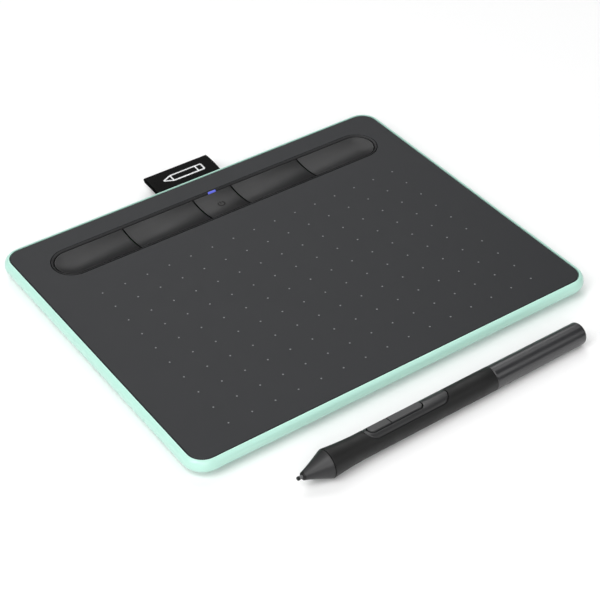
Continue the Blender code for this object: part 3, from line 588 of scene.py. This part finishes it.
def make_dots():
    """The printed grid that marks the drawing area: 15 by 10 small dots of grey ink."""
    columns, rows = 15, 10
    pitch = Vector((10.94 * MM, 10.67 * MM))
    centre = Vector((0.94 * MM, -17.35 * MM))   # from the panel's middle
    radius, sides, ink = 0.36 * MM, 16, 0.02 * MM
    dots = []
    for column in range(columns):
        for row in range(rows):
            x = MIDDLE.x + centre.x + (column - (columns - 1) / 2) * pitch.x
            y = MIDDLE.y + centre.y + (row - (rows - 1) / 2) * pitch.y
            outline = arc(x, y, radius, 0, 360 - 360 / sides, sides - 1)
            dots.append(prism("dot", outline, TOP - ink, TOP + ink))
    look = Look("dot_ink", linear(118, 119, 121), 0.6)
    look.vary_colour(look.noise(0.3 * MM), 0.1)
    add_piece("dot_grid", several("dot_grid", dots), "tablet", "top_panel", look=look.material)


def make_bezel():
    """The sloping ring round the keys, notched for the status light."""
    inner_edge, inner_top = 0.15 * MM, KEY_EDGE_Z - 0.1 * MM
    outer_edge = 0.12 * MM
    section = [(BEZEL_INNER, BEZEL_BOTTOM), (BEZEL_INNER, inner_top)]
    for x, z in arc(0, 0, inner_edge, 180, 110, 3):
        section.append((BEZEL_INNER + inner_edge + x, inner_top + z))
    for x, z in arc(0, 0, outer_edge, 110, 0, 5):
        section.append((BEZEL_OUTER - outer_edge + x, TOP - outer_edge + z))
    section.append((BEZEL_OUTER, BEZEL_BOTTOM))
    bezel = skin("bezel", [strip_ring(radius, z) for radius, z in section], closed=True)
    half = LENS_HALF + 0.1 * MM
    notch_low = (LENS_X - half, STRIP.y + BEZEL_INNER - GAP, 6 * MM)
    notch_high = (LENS_X + half, STRIP.y + BEZEL_OUTER - 0.2 * MM, 2 * TOP)
    bezel = carve(bezel, box("notch", notch_low, notch_high))
    add_piece("bezel", bezel, "tablet", "trim_plastic", ["key_bezel"])


def scoop_height(reach):
    """The keys' top, at a distance from the strip's spine."""
    return KEY_EDGE_Z - KEY_SCOOP * (1 - (reach / KEY_RADIUS) ** 2)


def key_mesh(name, start, end, round_start, round_end):
    """A scooped key between two points of the spine, in place, with a flat or round end at each."""
    steps, turns = 14, 28   # across the scoop, and round an end
    reach = KEY_RADIUS - 0.05 * MM
    section = [(reach * i / steps, scoop_height(reach * i / steps)) for i in range(steps + 1)]
    section += [(reach, KEY_SKIRT_Z), (0, KEY_SKIRT_Z)]
    bm = bmesh.new()
    spine = {x: [bm.verts.new((x, STRIP.y, section[i][1])) for i in (0, -1)] for x in (start, end)}

    def row(x, angle):
        turn = math.radians(angle)
        side = [(x + r * math.cos(turn), STRIP.y + r * math.sin(turn), z) for r, z in section[1:-1]]
        return [spine[x][0], *[bm.verts.new(point) for point in side], spine[x][1]]

    def bridge(a, b):
        for i in range(len(a) - 1):
            bm.faces.new(dict.fromkeys((a[i], a[i + 1], b[i + 1], b[i])))

    def finish(x, first, last, angle, rounded):
        if not rounded:
            bm.faces.new(first + last[-2:0:-1])
            return
        rows = [first, *[row(x, angle + 180 * i / turns) for i in range(1, turns)], last]
        for a, b in zip(rows, rows[1:]):
            bridge(a, b)

    front = [row(start, -90), row(end, -90)]
    back = [row(end, 90), row(start, 90)]
    bridge(*front)
    finish(end, front[1], back[0], -90, round_end)
    bridge(*back)
    finish(start, back[1], front[0], 90, round_start)
    return bevelled(to_mesh(name, bm), 0.15 * MM)


def make_keys():
    """The five keys in their row; the first and the last have a round outer end."""
    shrink = 0.05 * MM
    names = ["express_key_1", "express_key_2", "power_key", "express_key_3", "express_key_4"]
    low, high = corners("power_key")
    flange = (high - low).y / 2
    for name in names:
        low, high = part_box(name)
        first, last = name == names[0], name == names[-1]
        start = low[0] + flange if first else low[0] + shrink
        end = high[0] - flange if last else high[0] - shrink
        mesh = key_mesh(f"{name}_cap", start, end, first, last)
        add_piece(f"{name}_cap", mesh, name, "key_plastic", [name])


def make_power_symbol():
    """An open ring with a bar through its gap, printed on the power key's hollow."""
    radius, stroke, ink = 1.5 * MM, 0.65 * MM, 0.05 * MM
    bm = bmesh.new()

    def strip(path, width):
        """A printed line of even width that follows the scooped surface."""
        rows = []
        for i, point in enumerate(path):
            ahead = (path[min(i + 1, len(path) - 1)] - path[max(i - 1, 0)]).normalized()
            across = Vector((-ahead.y, ahead.x)) * width / 2
            row = []
            for side, lift in ((1, ink), (-1, ink), (-1, -ink), (1, -ink)):
                spot = point + across * side
                z = scoop_height(abs(spot.y)) + lift
                row.append(Vector((STRIP.x + spot.x, STRIP.y + spot.y, z)))
            rows.append(row)
        add_skin(bm, rows)

    ring = [Vector(p) for p in arc(0, 0, radius, 125, 415, 32)]
    strip(ring, stroke)
    strip([Vector((0, radius * share)) for share in (0.15, 0.6, 1.1)], stroke)
    look = Look("symbol_ink", linear(12, 11, 8), 0.5, Specular_IOR_Level=0.15)
    look.vary_colour(look.noise(0.3 * MM), 0.1)
    add_piece("power_symbol", to_mesh("power_symbol", bm), "power_key", "key_plastic", look=look.material)


def make_lens():
    """The status light's lens, flush with the bezel's slope."""
    near, far = STRIP.y + BEZEL_INNER + 0.02 * MM, STRIP.y + BEZEL_OUTER - 0.28 * MM
    near_top, far_top = KEY_EDGE_Z + 0.08 * MM, TOP - 0.05 * MM
    outline = [(near, COVER_BOTTOM), (far, COVER_BOTTOM), (far, far_top), (near, near_top)]
    rings = [[Vector((x, y, z)) for y, z in outline] for x in (LENS_LOW.x, LENS_HIGH.x)]
    mesh = bevelled(skin("lens", rings), 0.12 * MM)
    add_piece("status_light", mesh, "tablet", "light_lens", ["status_lens"])


def make_feet():
    """Low rubber discs with a rounded edge and a shallow ring pressed into the sole."""
    radius, edge, groove, back = FOOT_RADIUS, 0.35 * MM, 0.12 * MM, UNDERSIDE + 0.1 * MM
    for name, spot in spots("rubber_foot").items():
        profile = [(0, 0), (0, radius * 0.62), (groove, radius * 0.64)]
        profile += [(groove, radius * 0.70), (0, radius * 0.72)]
        profile += [(edge + z, radius - edge + r) for z, r in arc(0, 0, edge, 180, 90, 5)]
        profile += [(back, radius), (back, 0)]
        mesh = turned(f"{name}_pad", profile, 64, "Z", (spot.x, spot.y, 0), 50)
        add_piece(f"{name}_pad", mesh, "tablet", "foot_rubber", [name])


def make_screws():
    """Pan-head screws with a tapered cross recess."""
    head, dome, head_height = 1.9 * MM, 0.25 * MM, 1.0 * MM
    shank, length = 1.0 * MM, 5.4 * MM
    half, reach, depth, taper = 0.24 * MM, 1.15 * MM, 0.7 * MM, 0.45
    for name, spot in spots("case_screw").items():
        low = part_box(name)[0][2]
        profile = [(low, 0), (low, head * 0.55), (low + dome * 0.35, head * 0.85), (low + dome, head)]
        profile += [(low + head_height, head), (low + head_height, shank)]
        profile += [(low + length, shank), (low + length, 0)]
        mesh = turned(f"{name}_body", profile, 32, "Z", (spot.x, spot.y, 0))
        for x, y in ((reach, half), (half, reach)):
            wide = [(spot.x - x, spot.y - y), (spot.x + x, spot.y - y)]
            wide += [(spot.x + x, spot.y + y), (spot.x - x, spot.y + y)]
            deep = [(spot.x + (a - spot.x) * taper, spot.y + (b - spot.y) * taper) for a, b in wide]
            cutter = skin("cross", [at_height(wide, low - 0.2 * MM), at_height(deep, low + depth)])
            mesh = carve(mesh, cutter)
        add_piece(f"{name}_body", mesh, "tablet", "bare_steel", [name])


def make_socket():
    """The charging socket: a folded steel shell round a black tongue with five contacts."""
    height = SOCKET_HIGH.z - SOCKET_LOW.z
    centre = Vector((SOCKET_X, 0, SOCKET_LOW.z))

    def ring(inset, y):
        """The shell's outline: round upper corners, and lower ones cut off."""
        half, low, high, cut, fold = SOCKET_HALF - inset, inset, height - inset, 0.85 * MM, 0.25 * MM
        side = arc(half - fold, high - fold, fold, 0, 90, 4)
        other = [(-x, z) for x, z in reversed(side)]
        foot = half - cut * 0.7
        lower = [(-half, low + cut), (-foot, low), (foot, low), (half, low + cut)]
        return [Vector((centre.x + x, y, centre.z + z)) for x, z in [*side, *other, *lower]]

    wall, deep = 0.25 * MM, SOCKET_LOW.y + 0.8 * MM
    rings = [ring(0, SOCKET_LOW.y), ring(0, SOCKET_HIGH.y), ring(wall, SOCKET_HIGH.y), ring(wall, deep)]
    add_piece("socket_shell", skin("socket_shell", rings), "tablet", "bare_steel", ["usb_socket"])
    tongue_half = 2.3 * MM
    tongue_low = (centre.x - tongue_half, deep + 0.05 * MM, centre.z + 1.25 * MM)
    tongue_high = (centre.x + tongue_half, SOCKET_HIGH.y - 0.6 * MM, centre.z + 1.75 * MM)
    tongue = bevelled(box("socket_tongue", tongue_low, tongue_high), 0.1 * MM, 2)
    add_piece("socket_tongue", tongue, "tablet", "chip_black")
    count, pitch, half, proud = 5, 0.8 * MM, 0.2 * MM, 0.06 * MM
    pads = []
    for i in range(count):
        x = centre.x + (i - count // 2) * pitch
        low = (x - half, tongue_low[1] + 0.4 * MM, tongue_low[2] - proud)
        pads.append(box("pad", low, (x + half, tongue_high[1] - 0.3 * MM, tongue_low[2] + proud)))
    gold = Look("gold_contact", linear(228, 186, 96), 0.25, 1.0)
    gold.vary_roughness(gold.noise(0.4 * MM), 0.18, 0.35)
    add_piece("socket_contacts", several("socket_contacts", pads), "tablet", "copper", look=gold.material)


# ---- pen loop

def smooth_path(points, spacing):
    """Points at an even spacing along a smooth curve through (y, z) points, and its length."""
    knots = [points[0], *points, points[-1]]
    fine = []
    for i in range(1, len(knots) - 2):
        p0, p1, p2, p3 = (np.array(knots[j], float) for j in range(i - 1, i + 3))
        for t in np.linspace(0, 1, 24, endpoint=False):
            fine.append(0.5 * (2 * p1 + (p2 - p0) * t + (2 * p0 - 5 * p1 + 4 * p2 - p3) * t**2
                               + (3 * p1 - p0 - 3 * p2 + p3) * t**3))
    fine.append(np.array(points[-1], float))
    fine = np.array(fine)
    lengths = np.concatenate([[0], np.cumsum(np.linalg.norm(np.diff(fine, axis=0), axis=1))])
    count = int(lengths[-1] / spacing)
    marks = np.linspace(0, lengths[-1], count + 1)
    return np.stack([np.interp(marks, lengths, fine[:, k]) for k in (0, 1)], 1), lengths[-1]


def loop_route():
    """The ribbon's middle line in (y, z): out of the case, over the fold and back in."""
    reach = LOOP_HIGH.y - LOOP_THICKNESS / 2 - 0.1 * MM
    inner = LOOP_LOW.y
    steps = [   # y in metres, z in millimetres
        (inner, 5.4), (inner + 5 * MM, 5.4), (inner + 8.5 * MM, 5.92), (inner + 12 * MM, 6.48),
        (inner + 16 * MM, 6.8), (reach - 1.6 * MM, 6.75), (reach - 0.4 * MM, 6.25), (reach, 5.55),
        (reach - 0.4 * MM, 4.85), (reach - 1.6 * MM, 4.42), (inner + 16 * MM, 4.3), (inner + 12 * MM, 4.0),
        (inner + 8 * MM, 3.7), (inner + 5 * MM, 3.6), (inner, 3.6),
    ]
    return [(y, z * MM) for y, z in steps]


def make_loop():
    """The woven ribbon, ribbed across its width with a firmer selvedge, and its pictogram."""
    half = LOOP_HALF - 0.05 * MM
    route, length = smooth_path(loop_route(), 0.16 * MM)
    marks = np.linspace(0, length, len(route))
    ahead = np.gradient(route, axis=0)
    ahead /= np.linalg.norm(ahead, axis=1)[:, None]
    outward = np.stack([-ahead[:, 1], ahead[:, 0]], 1)
    edge_band, columns = 1.3 * MM, 68
    across = np.linspace(-half, half, columns + 1)
    round_trip = [(x, 1) for x in across] + [(x, -1) for x in across[::-1]]
    rib_pitch, rib_height = 0.64 * MM, 0.035 * MM
    thinner, selvedge = 0.12 * MM, 0.06 * MM    # what each face lacks, and what its edge gains
    rings = []
    for along, point, out in zip(marks, route, outward):
        ring = []
        for x, side in round_trip:
            border = max(0.0, 1 - (half - abs(x)) / edge_band)      # 1 at the edge, 0 inside its band
            body = LOOP_THICKNESS / 2 - thinner + selvedge * min(1, 3 * border)
            rib = rib_height * math.sin(2 * math.pi * along / rib_pitch) * (1 - min(1, 2 * border))
            rounding = 0.75 if abs(x) == half else 1.0
            offset = side * (body * rounding + rib)
            ring.append((LOOP_X + x, point[0] + out[0] * offset, point[1] + out[1] * offset))
        rings.append(ring)
    bm = bmesh.new()
    uv_layer = bm.loops.layers.uv.new("cloth")
    rows = add_skin(bm, rings)
    bmesh.ops.recalc_face_normals(bm, faces=bm.faces)
    flat = {}
    for row, along in zip(rows, marks):
        flat.update((vertex, (x, along)) for vertex, (x, side) in zip(row, round_trip))
    for face in bm.faces:
        for loop in face.loops:
            loop[uv_layer].uv = flat[loop.vert]
    ribbon = add_piece("ribbon", smoothed(as_mesh("ribbon", bm), 50), "tablet", "woven_ribbon", ["pen_loop"])
    mark = make_loop_mark(route, outward, marks)


def pencil_strokes():
    """A plain pencil in outline, lying across the ribbon: (x, along) corner points of each stroke."""
    long, tall, point, band = 10.5 * MM, 1.9 * MM, 4.4 * MM, 3.2 * MM
    nose = -long + point
    return [
        [(-long, 0), (nose, tall), (long, tall), (long, -tall), (nose, -tall), (-long, 0)],
        [(nose, tall), (nose, -tall)],
        [(long - band, tall), (long - band, -tall)],
    ]


def make_loop_mark(route, outward, marks):
    """White satin stitches across each stroke, each one a small rounded bar on the ribbon's face."""
    middle = marks[int(len(marks) * 0.31)]      # on the upper face, between the case and the fold
    pitch, width, thick = 0.30 * MM, 0.42 * MM, 0.07 * MM
    lift = LOOP_THICKNESS / 2 - 0.10 * MM
    stitch = ((-1, 0.35), (-0.75, 0.85), (0, 1.0), (0.75, 0.85), (1, 0.35))     # (place, fullness)
    angles = [math.radians(60 * turn) for turn in range(6)]
    bm = bmesh.new()

    def on_ribbon(x, along, height):
        y, z = (np.interp(middle + along, marks, route[:, k]) for k in (0, 1))
        out_y, out_z = (np.interp(middle + along, marks, outward[:, k]) for k in (0, 1))
        return Vector((LOOP_X + x, y + out_y * (lift + height), z + out_z * (lift + height)))

    for stroke in pencil_strokes():
        for (x0, a0), (x1, a1) in zip(stroke, stroke[1:]):
            run = Vector((x1 - x0, a1 - a0))
            ahead = run.normalized()
            side = Vector((-ahead.y, ahead.x))
            count = max(2, round(run.length / pitch))
            for i in range(count):
                centre = Vector((x0, a0)) + run * (i + 0.5) / count
                rings = []
                for share, size in stitch:
                    spot = centre + side * share * width
                    ring = []
                    for angle in angles:
                        flat_part = spot + ahead * math.cos(angle) * pitch * 0.48 * size
                        ring.append(on_ribbon(flat_part.x, flat_part.y, thick * size * math.sin(angle)))
                    rings.append(ring)
                add_skin(bm, rings)
    look = Look("white_thread", linear(226, 227, 228), 0.6, Sheen_Weight=0.3)
    look.vary_colour(look.noise(0.25 * MM, 3.0), 0.12)
    look.bump(look.noise(0.08 * MM, 2.0), 0.01 * MM)
    mesh = to_mesh("ribbon_pictogram", bm)
    return add_piece("ribbon_pictogram", mesh, "tablet", "woven_ribbon", look=look.material)


# ---- pen

def pen_frame():
    """The pen's own axes: +X from the nib's tip up the pen, +Z through its buttons."""
    joints = {joint["name"]: joint for joint in frame["record"]["behaviour"]["joints"]}
    ahead = Vector(joints["nib_press"]["axis"]).normalized()
    up = -Vector(joints["switch_front_press"]["axis"]).normalized()
    side = up.cross(ahead).normalized()
    points = np.array([vertex.co for vertex in frame["nodes"]["nib"].data.vertices])
    along = points @ np.array(ahead)
    tip = Vector(points[along < along.min() + 0.02 * MM].mean(axis=0))
    turn = Matrix((ahead, side, up)).transposed().to_4x4()
    return Matrix.Translation(tip) @ turn


PEN = pen_frame()

# Distances along the pen from the nib's tip
NOSE_START = 2.2 * MM
NOSE_END = 13.55 * MM
FLARE_AT = NOSE_END + GAP
FLARE_END = 30.0 * MM
GRIP_END = 95.0 * MM
PEN_LENGTH = 143.8 * MM
PLATE_SPAN = (32.0 * MM, 72.2 * MM)
BUTTON_SPANS = {"switch_front": (34.0 * MM, 43.75 * MM), "switch_rear": (44.05 * MM, 59.9 * MM)}

# Radii, half widths and heights from the pen's axis
NOSE_TIP_RADIUS = 1.5 * MM
FLARE_RADIUS = 6.1 * MM
PEN_RADIUS = 5.15 * MM
BARREL_RADIUS = 5.1 * MM
TAIL_RADIUS = 4.92 * MM
SLEEVE_BORE = 4.5 * MM
CORE_RADIUS = 4.2 * MM
PLATE_RADIUS = PEN_RADIUS + 0.03 * MM
PLATE_HALF = 4.0 * MM
BUTTON_BOTTOM = 2.95 * MM
BUTTON_TOP = 5.3 * MM
BUTTON_HALF = 1.9 * MM
PEN_SEGMENTS = 96


def grip_radius(along):
    """The sleeve swells towards the nose in a hollow curve."""
    t = min(max((along - FLARE_AT) / (FLARE_END - FLARE_AT), 0), 1)
    return PEN_RADIUS + (FLARE_RADIUS - PEN_RADIUS) * (1 - t) ** 1.7


def nose_radius(along):
    """The nose widens from its tip to the flare in a slight curve."""
    t = (along - NOSE_START) / (FLARE_AT - NOSE_START)
    return NOSE_TIP_RADIUS + (FLARE_RADIUS - NOSE_TIP_RADIUS) * (0.85 * t + 0.15 * t * t)


def evenly(start, end, count):
    """The ends of count equal steps, both ends included."""
    return [start + (end - start) * i / count for i in range(count + 1)]


def make_nose():
    """The hollow nose cone, and a thin dark sheath over the front of its tip: painted shade."""
    bore, edge = 1.05 * MM, 0.22 * MM
    mouth = bore + 0.1 * MM
    chamber, chamber_start, core_stop = 3.2 * MM, 8.5 * MM, 17.5 * MM
    end = NOSE_END + 0.05 * MM
    profile = [(NOSE_START + edge, bore), (NOSE_START, mouth), (NOSE_START, NOSE_TIP_RADIUS - edge)]
    profile += [(NOSE_START + edge * 0.35, NOSE_TIP_RADIUS - edge * 0.3)]
    profile += [(s, nose_radius(s)) for s in evenly(NOSE_START + edge, end - edge, 30)]
    profile += [(end - edge * 0.3, nose_radius(end) - edge * 0.25), (end, nose_radius(end) - edge)]
    profile += [(end, CORE_RADIUS), (core_stop, CORE_RADIUS), (core_stop, chamber)]
    profile += [(chamber_start, chamber), (chamber_start, bore)]
    nose = turned("nose", profile, PEN_SEGMENTS, sharp_angle=30)
    add_pen_piece("nose", nose, "pen", "barrel_satin", ["nose_cone"], LOOKS["nose_plastic"])
    # A thin dark sheath, barely proud of the nose's front end: painted shade at the tip.
    proud, front, back = 0.03 * MM, NOSE_START + edge, NOSE_START + 0.8 * MM
    profile = [(NOSE_START - proud, mouth), (NOSE_START - proud, NOSE_TIP_RADIUS - edge)]
    profile += [(front, nose_radius(front) + proud), (back, nose_radius(back) + proud), (back, mouth)]
    tip_shade = turned("nose_tip_shade", profile, PEN_SEGMENTS)
    add_pen_piece("nose_tip_shade", tip_shade, "pen", "barrel_satin", look=LOOKS["tip_black"])


def make_nib():
    """A plastic nib whose blunt point is dark against the light shaft: painted shade on the point and a
    painted highlight along the shaft.
    """
    radius, segments = 0.82 * MM, 40
    round_off, round_depth = 0.55 * MM, 0.3 * MM
    point_end, shaft_radius, shaft_end = 0.9 * MM, radius - 0.04 * MM, 22.0 * MM
    profile = [(0, 0)]
    for z, r in arc(0, 0, round_off, 172, 90, 7):
        profile.append((round_off + z, radius - round_depth + r * round_depth / round_off))
    profile += [(point_end, radius), (point_end, 0)]
    # The point is a dark copy of the nib's plastic: painted shade.
    point = turned("nib_point_shade", profile, segments)
    add_pen_piece("nib_point_shade", point, "nib", "nib_plastic", look=LOOKS["tip_black"])
    profile = [(point_end, 0), (point_end, shaft_radius), (shaft_end, shaft_radius), (shaft_end, 0)]
    add_pen_piece("nib_shaft", turned("nib_shaft", profile, segments), "nib", "nib_plastic", ["nib"])


def plate_outline(margin=0):
    """The switch plate's outline, widened by a margin."""
    start, end = PLATE_SPAN
    return stadium_outline(start + PLATE_HALF, end - PLATE_HALF, PLATE_HALF + margin)


def make_grip():
    """The soft sleeve, with a rounded lip at each end and a pocket for the switch plate."""
    lip = 0.25 * MM
    start, end = FLARE_AT - 0.04 * MM, GRIP_END
    profile = [(start, SLEEVE_BORE), (start, grip_radius(start) - lip * 0.9)]
    profile += [(start + lip * 0.4, grip_radius(start) - lip * 0.2)]
    profile += [(s, grip_radius(s)) for s in evenly(start + lip, FLARE_END, 36)]
    profile += [(s, PEN_RADIUS) for s in evenly(FLARE_END, end - lip, 9)[1:]]
    profile += [(end - 0.06 * MM, PEN_RADIUS - 0.08 * MM), (end, PEN_RADIUS - lip), (end, SLEEVE_BORE)]
    pocket = prism("pocket", plate_outline(0.35 * MM), 0, 2 * FLARE_RADIUS)
    sleeve = carve(turned("sleeve", profile, PEN_SEGMENTS), pocket)
    add_pen_piece("sleeve", sleeve, "pen", "grip_rubber", ["grip_sleeve"])


def button_outline(start, end, half, round_start, round_end):
    """A button's outline, with a flat or a round end at each side."""
    steps = 20
    right = arc(end - half, 0, half, -90, 90, steps) if round_end else [(end, -half), (end, half)]
    left = arc(start + half, 0, half, 90, 270, steps) if round_start else [(start, half), (start, -half)]
    return right + left


def plate_ring(share, offset, depth):
    """A loop on the curved plate, from the buttons' window (share 0) to the plate's own edge (share 1)."""
    margin = BUTTON_HALF + 0.45 * MM
    first, last = BUTTON_SPANS["switch_front"][0] + BUTTON_HALF, BUTTON_SPANS["switch_rear"][1] - BUTTON_HALF
    window = stadium_outline(first, last, margin)
    ring = []
    for inside, outside in zip(window, plate_outline()):
        inside, outside = Vector(inside), Vector(outside)
        spot = inside.lerp(outside, share + offset / (outside - inside).length)
        ring.append(Vector((spot.x, spot.y, math.sqrt((PLATE_RADIUS - depth) ** 2 - spot.y ** 2))))
    return ring


def make_side_switch():
    """The curved plate in the sleeve's pocket and the two buttons that stand out of it."""
    lip, thickness = 0.22 * MM, PLATE_RADIUS - SLEEVE_BORE
    rings = [plate_ring(0, 0, thickness)]
    rings += [plate_ring(0, lip + x, lip - z) for x, z in arc(0, 0, lip, 180, 90, 5)]
    rings += [plate_ring(share / 6, 0, 0) for share in range(2, 5)]
    rings += [plate_ring(1, x - lip, lip - z) for x, z in arc(0, 0, lip, 90, 0, 5)]
    rings.append(plate_ring(1, 0, thickness))
    plate = skin("plate", rings, closed=True)
    add_pen_piece("plate", plate, "pen", "trim_plastic", ["switch_plate"], LOOKS["plate_plastic"])
    edge = 0.25 * MM
    for name, (start, end) in BUTTON_SPANS.items():
        front = name == "switch_front"
        rings = [at_height(button_outline(start, end, BUTTON_HALF, front, not front), BUTTON_BOTTOM)]
        for inset, z in arc(0, 0, edge, 0, 90, 6):
            shrink = edge - inset
            outline = button_outline(start + shrink, end - shrink, BUTTON_HALF - shrink, front, not front)
            rings.append(at_height(outline, BUTTON_TOP - edge + z))
        mesh = flat_weighted(skin(f"{name}_cap", rings))
        # The buttons take the lighter plastic that paints their highlight.
        add_pen_piece(f"{name}_cap", mesh, name, "key_plastic", [name], LOOKS["button_highlight_plastic"])


def make_barrel():
    """The satin rear barrel, with a fine chamfer at its mouth and a rounded tail."""
    start, rounding, edge, chamfer = GRIP_END + 0.15 * MM, 1.5 * MM, 0.16 * MM, 0.1 * MM
    profile = [(start + chamfer, SLEEVE_BORE), (start, SLEEVE_BORE + chamfer), (start, BARREL_RADIUS - edge)]
    body = evenly(start + edge, PEN_LENGTH - rounding, 8)
    radii = evenly(BARREL_RADIUS, TAIL_RADIUS, 8)
    profile += list(zip(body, radii))[:-1]
    profile += arc(PEN_LENGTH - rounding, TAIL_RADIUS - rounding, rounding, 90, 8, 12)
    profile += [(PEN_LENGTH, TAIL_RADIUS - rounding - 0.3 * MM), (PEN_LENGTH, 0)]
    bore, bore_start, push_fit_end = 4.35 * MM, 102.5 * MM, 101.2 * MM
    floor, floor_radius, floor_slope = PEN_LENGTH - 1.5 * MM, 3.0 * MM, 1.5 * MM
    profile += [(floor, 0), (floor, floor_radius), (floor - floor_slope, bore)]
    profile += [(bore_start, bore), (push_fit_end, SLEEVE_BORE)]
    mesh = turned("barrel", profile, PEN_SEGMENTS)
    add_pen_piece("barrel", mesh, "rear_barrel", "barrel_satin", ["rear_barrel"])


# ---- studio

def make_floor():
    """A pale paper floor, six metres across."""
    half_size = 3.0
    bm = bmesh.new()
    bmesh.ops.create_grid(bm, x_segments=2, y_segments=2, size=half_size)
    floor = shown("floor", as_mesh("floor", bm))
    paper = Look("floor_paper", (0.90, 0.90, 0.90, 1), 0.9, Specular_IOR_Level=0.0)
    floor.data.materials.append(paper.material)


# Soft boxes that face the set: azimuth from +Y towards +X and elevation, both in degrees, distance
# and (width, height), both in metres, and radiance
SOFT_BOXES = {
    "key_left": (-100, 35, 2.5, (1.2, 0.8), 4.6),
    "key_high": (-100, 60, 2.5, (1.2, 1.2), 4.0),
    "key_near": (-90, 55, 1.0, (0.5, 0.5), 1.65),
    "back_low": (10, 36, 2.5, (1.1, 0.6), 2.1),
    "back_right": (35, 36, 2.5, (1.1, 0.6), 2.5),
    "back_high": (20, 58, 2.5, (1.2, 0.9), 3.3),
    "right_high": (65, 58, 2.5, (1.2, 0.9), 1.5),
    "front_high": (-150, 60, 2.5, (1.2, 1.2), 3.0),
    "front_left": (-150, 30, 2.5, (1.4, 0.9), 5.1),
    "front_right": (150, 35, 2.5, (1.4, 1.0), 1.5),
}


def make_lights():
    """The soft boxes as area lights; a light's power is pi times its area and radiance."""
    for name, (azimuth, elevation, distance, size, radiance) in SOFT_BOXES.items():
        turn, lift = math.radians(azimuth), math.radians(elevation)
        flat = math.cos(lift)
        place = Vector((math.sin(turn) * flat, math.cos(turn) * flat, math.sin(lift))) * distance
        light = bpy.data.lights.new(name, "AREA")
        light.shape = "RECTANGLE"
        light.size, light.size_y = size
        light.energy = math.pi * size[0] * size[1] * radiance
        lamp = shown(name, light)
        lamp.location = place
        lamp.rotation_euler = (-place).to_track_quat("-Z", "Y").to_euler()


def make_world():
    """A dark studio with a trace of light from all round."""
    trace = 0.06
    world = bpy.data.worlds.new("studio")
    world.use_nodes = True
    world.node_tree.nodes["Background"].inputs["Color"].default_value = (trace, trace, trace, 1)
    bpy.context.scene.world = world


def make_camera():
    """A long lens looking down across the tablet's near left corner."""
    lens = bpy.data.cameras.new("camera")
    lens.lens = 99.29
    lens.sensor_width = 36.0
    lens.clip_start = 0.01
    camera = shown("camera", lens)
    # Fitted to the case's corners and the dots in the photo
    left, near, height = 317.75 * MM, 456.01 * MM, 447.41 * MM
    aim_left, aim_near = 10.70 * MM, 20.78 * MM
    camera.location = (MIDDLE.x - left, MIDDLE.y - near, height)
    aim = Vector((MIDDLE.x - aim_left, MIDDLE.y - aim_near, TOP))
    camera.rotation_euler = (aim - camera.location).to_track_quat("-Z", "Y").to_euler()
    bpy.context.scene.camera = camera


make_camera()
dress_frame()
for make in (
    make_case, make_panel, make_dots, make_bezel, make_keys, make_power_symbol, make_lens, make_feet,
    make_screws, make_socket, make_loop, make_nose, make_nib, make_grip, make_side_switch, make_barrel,
    make_floor, make_lights, make_world,
):
    make()
bpy.context.scene.view_settings.view_transform = "Standard"
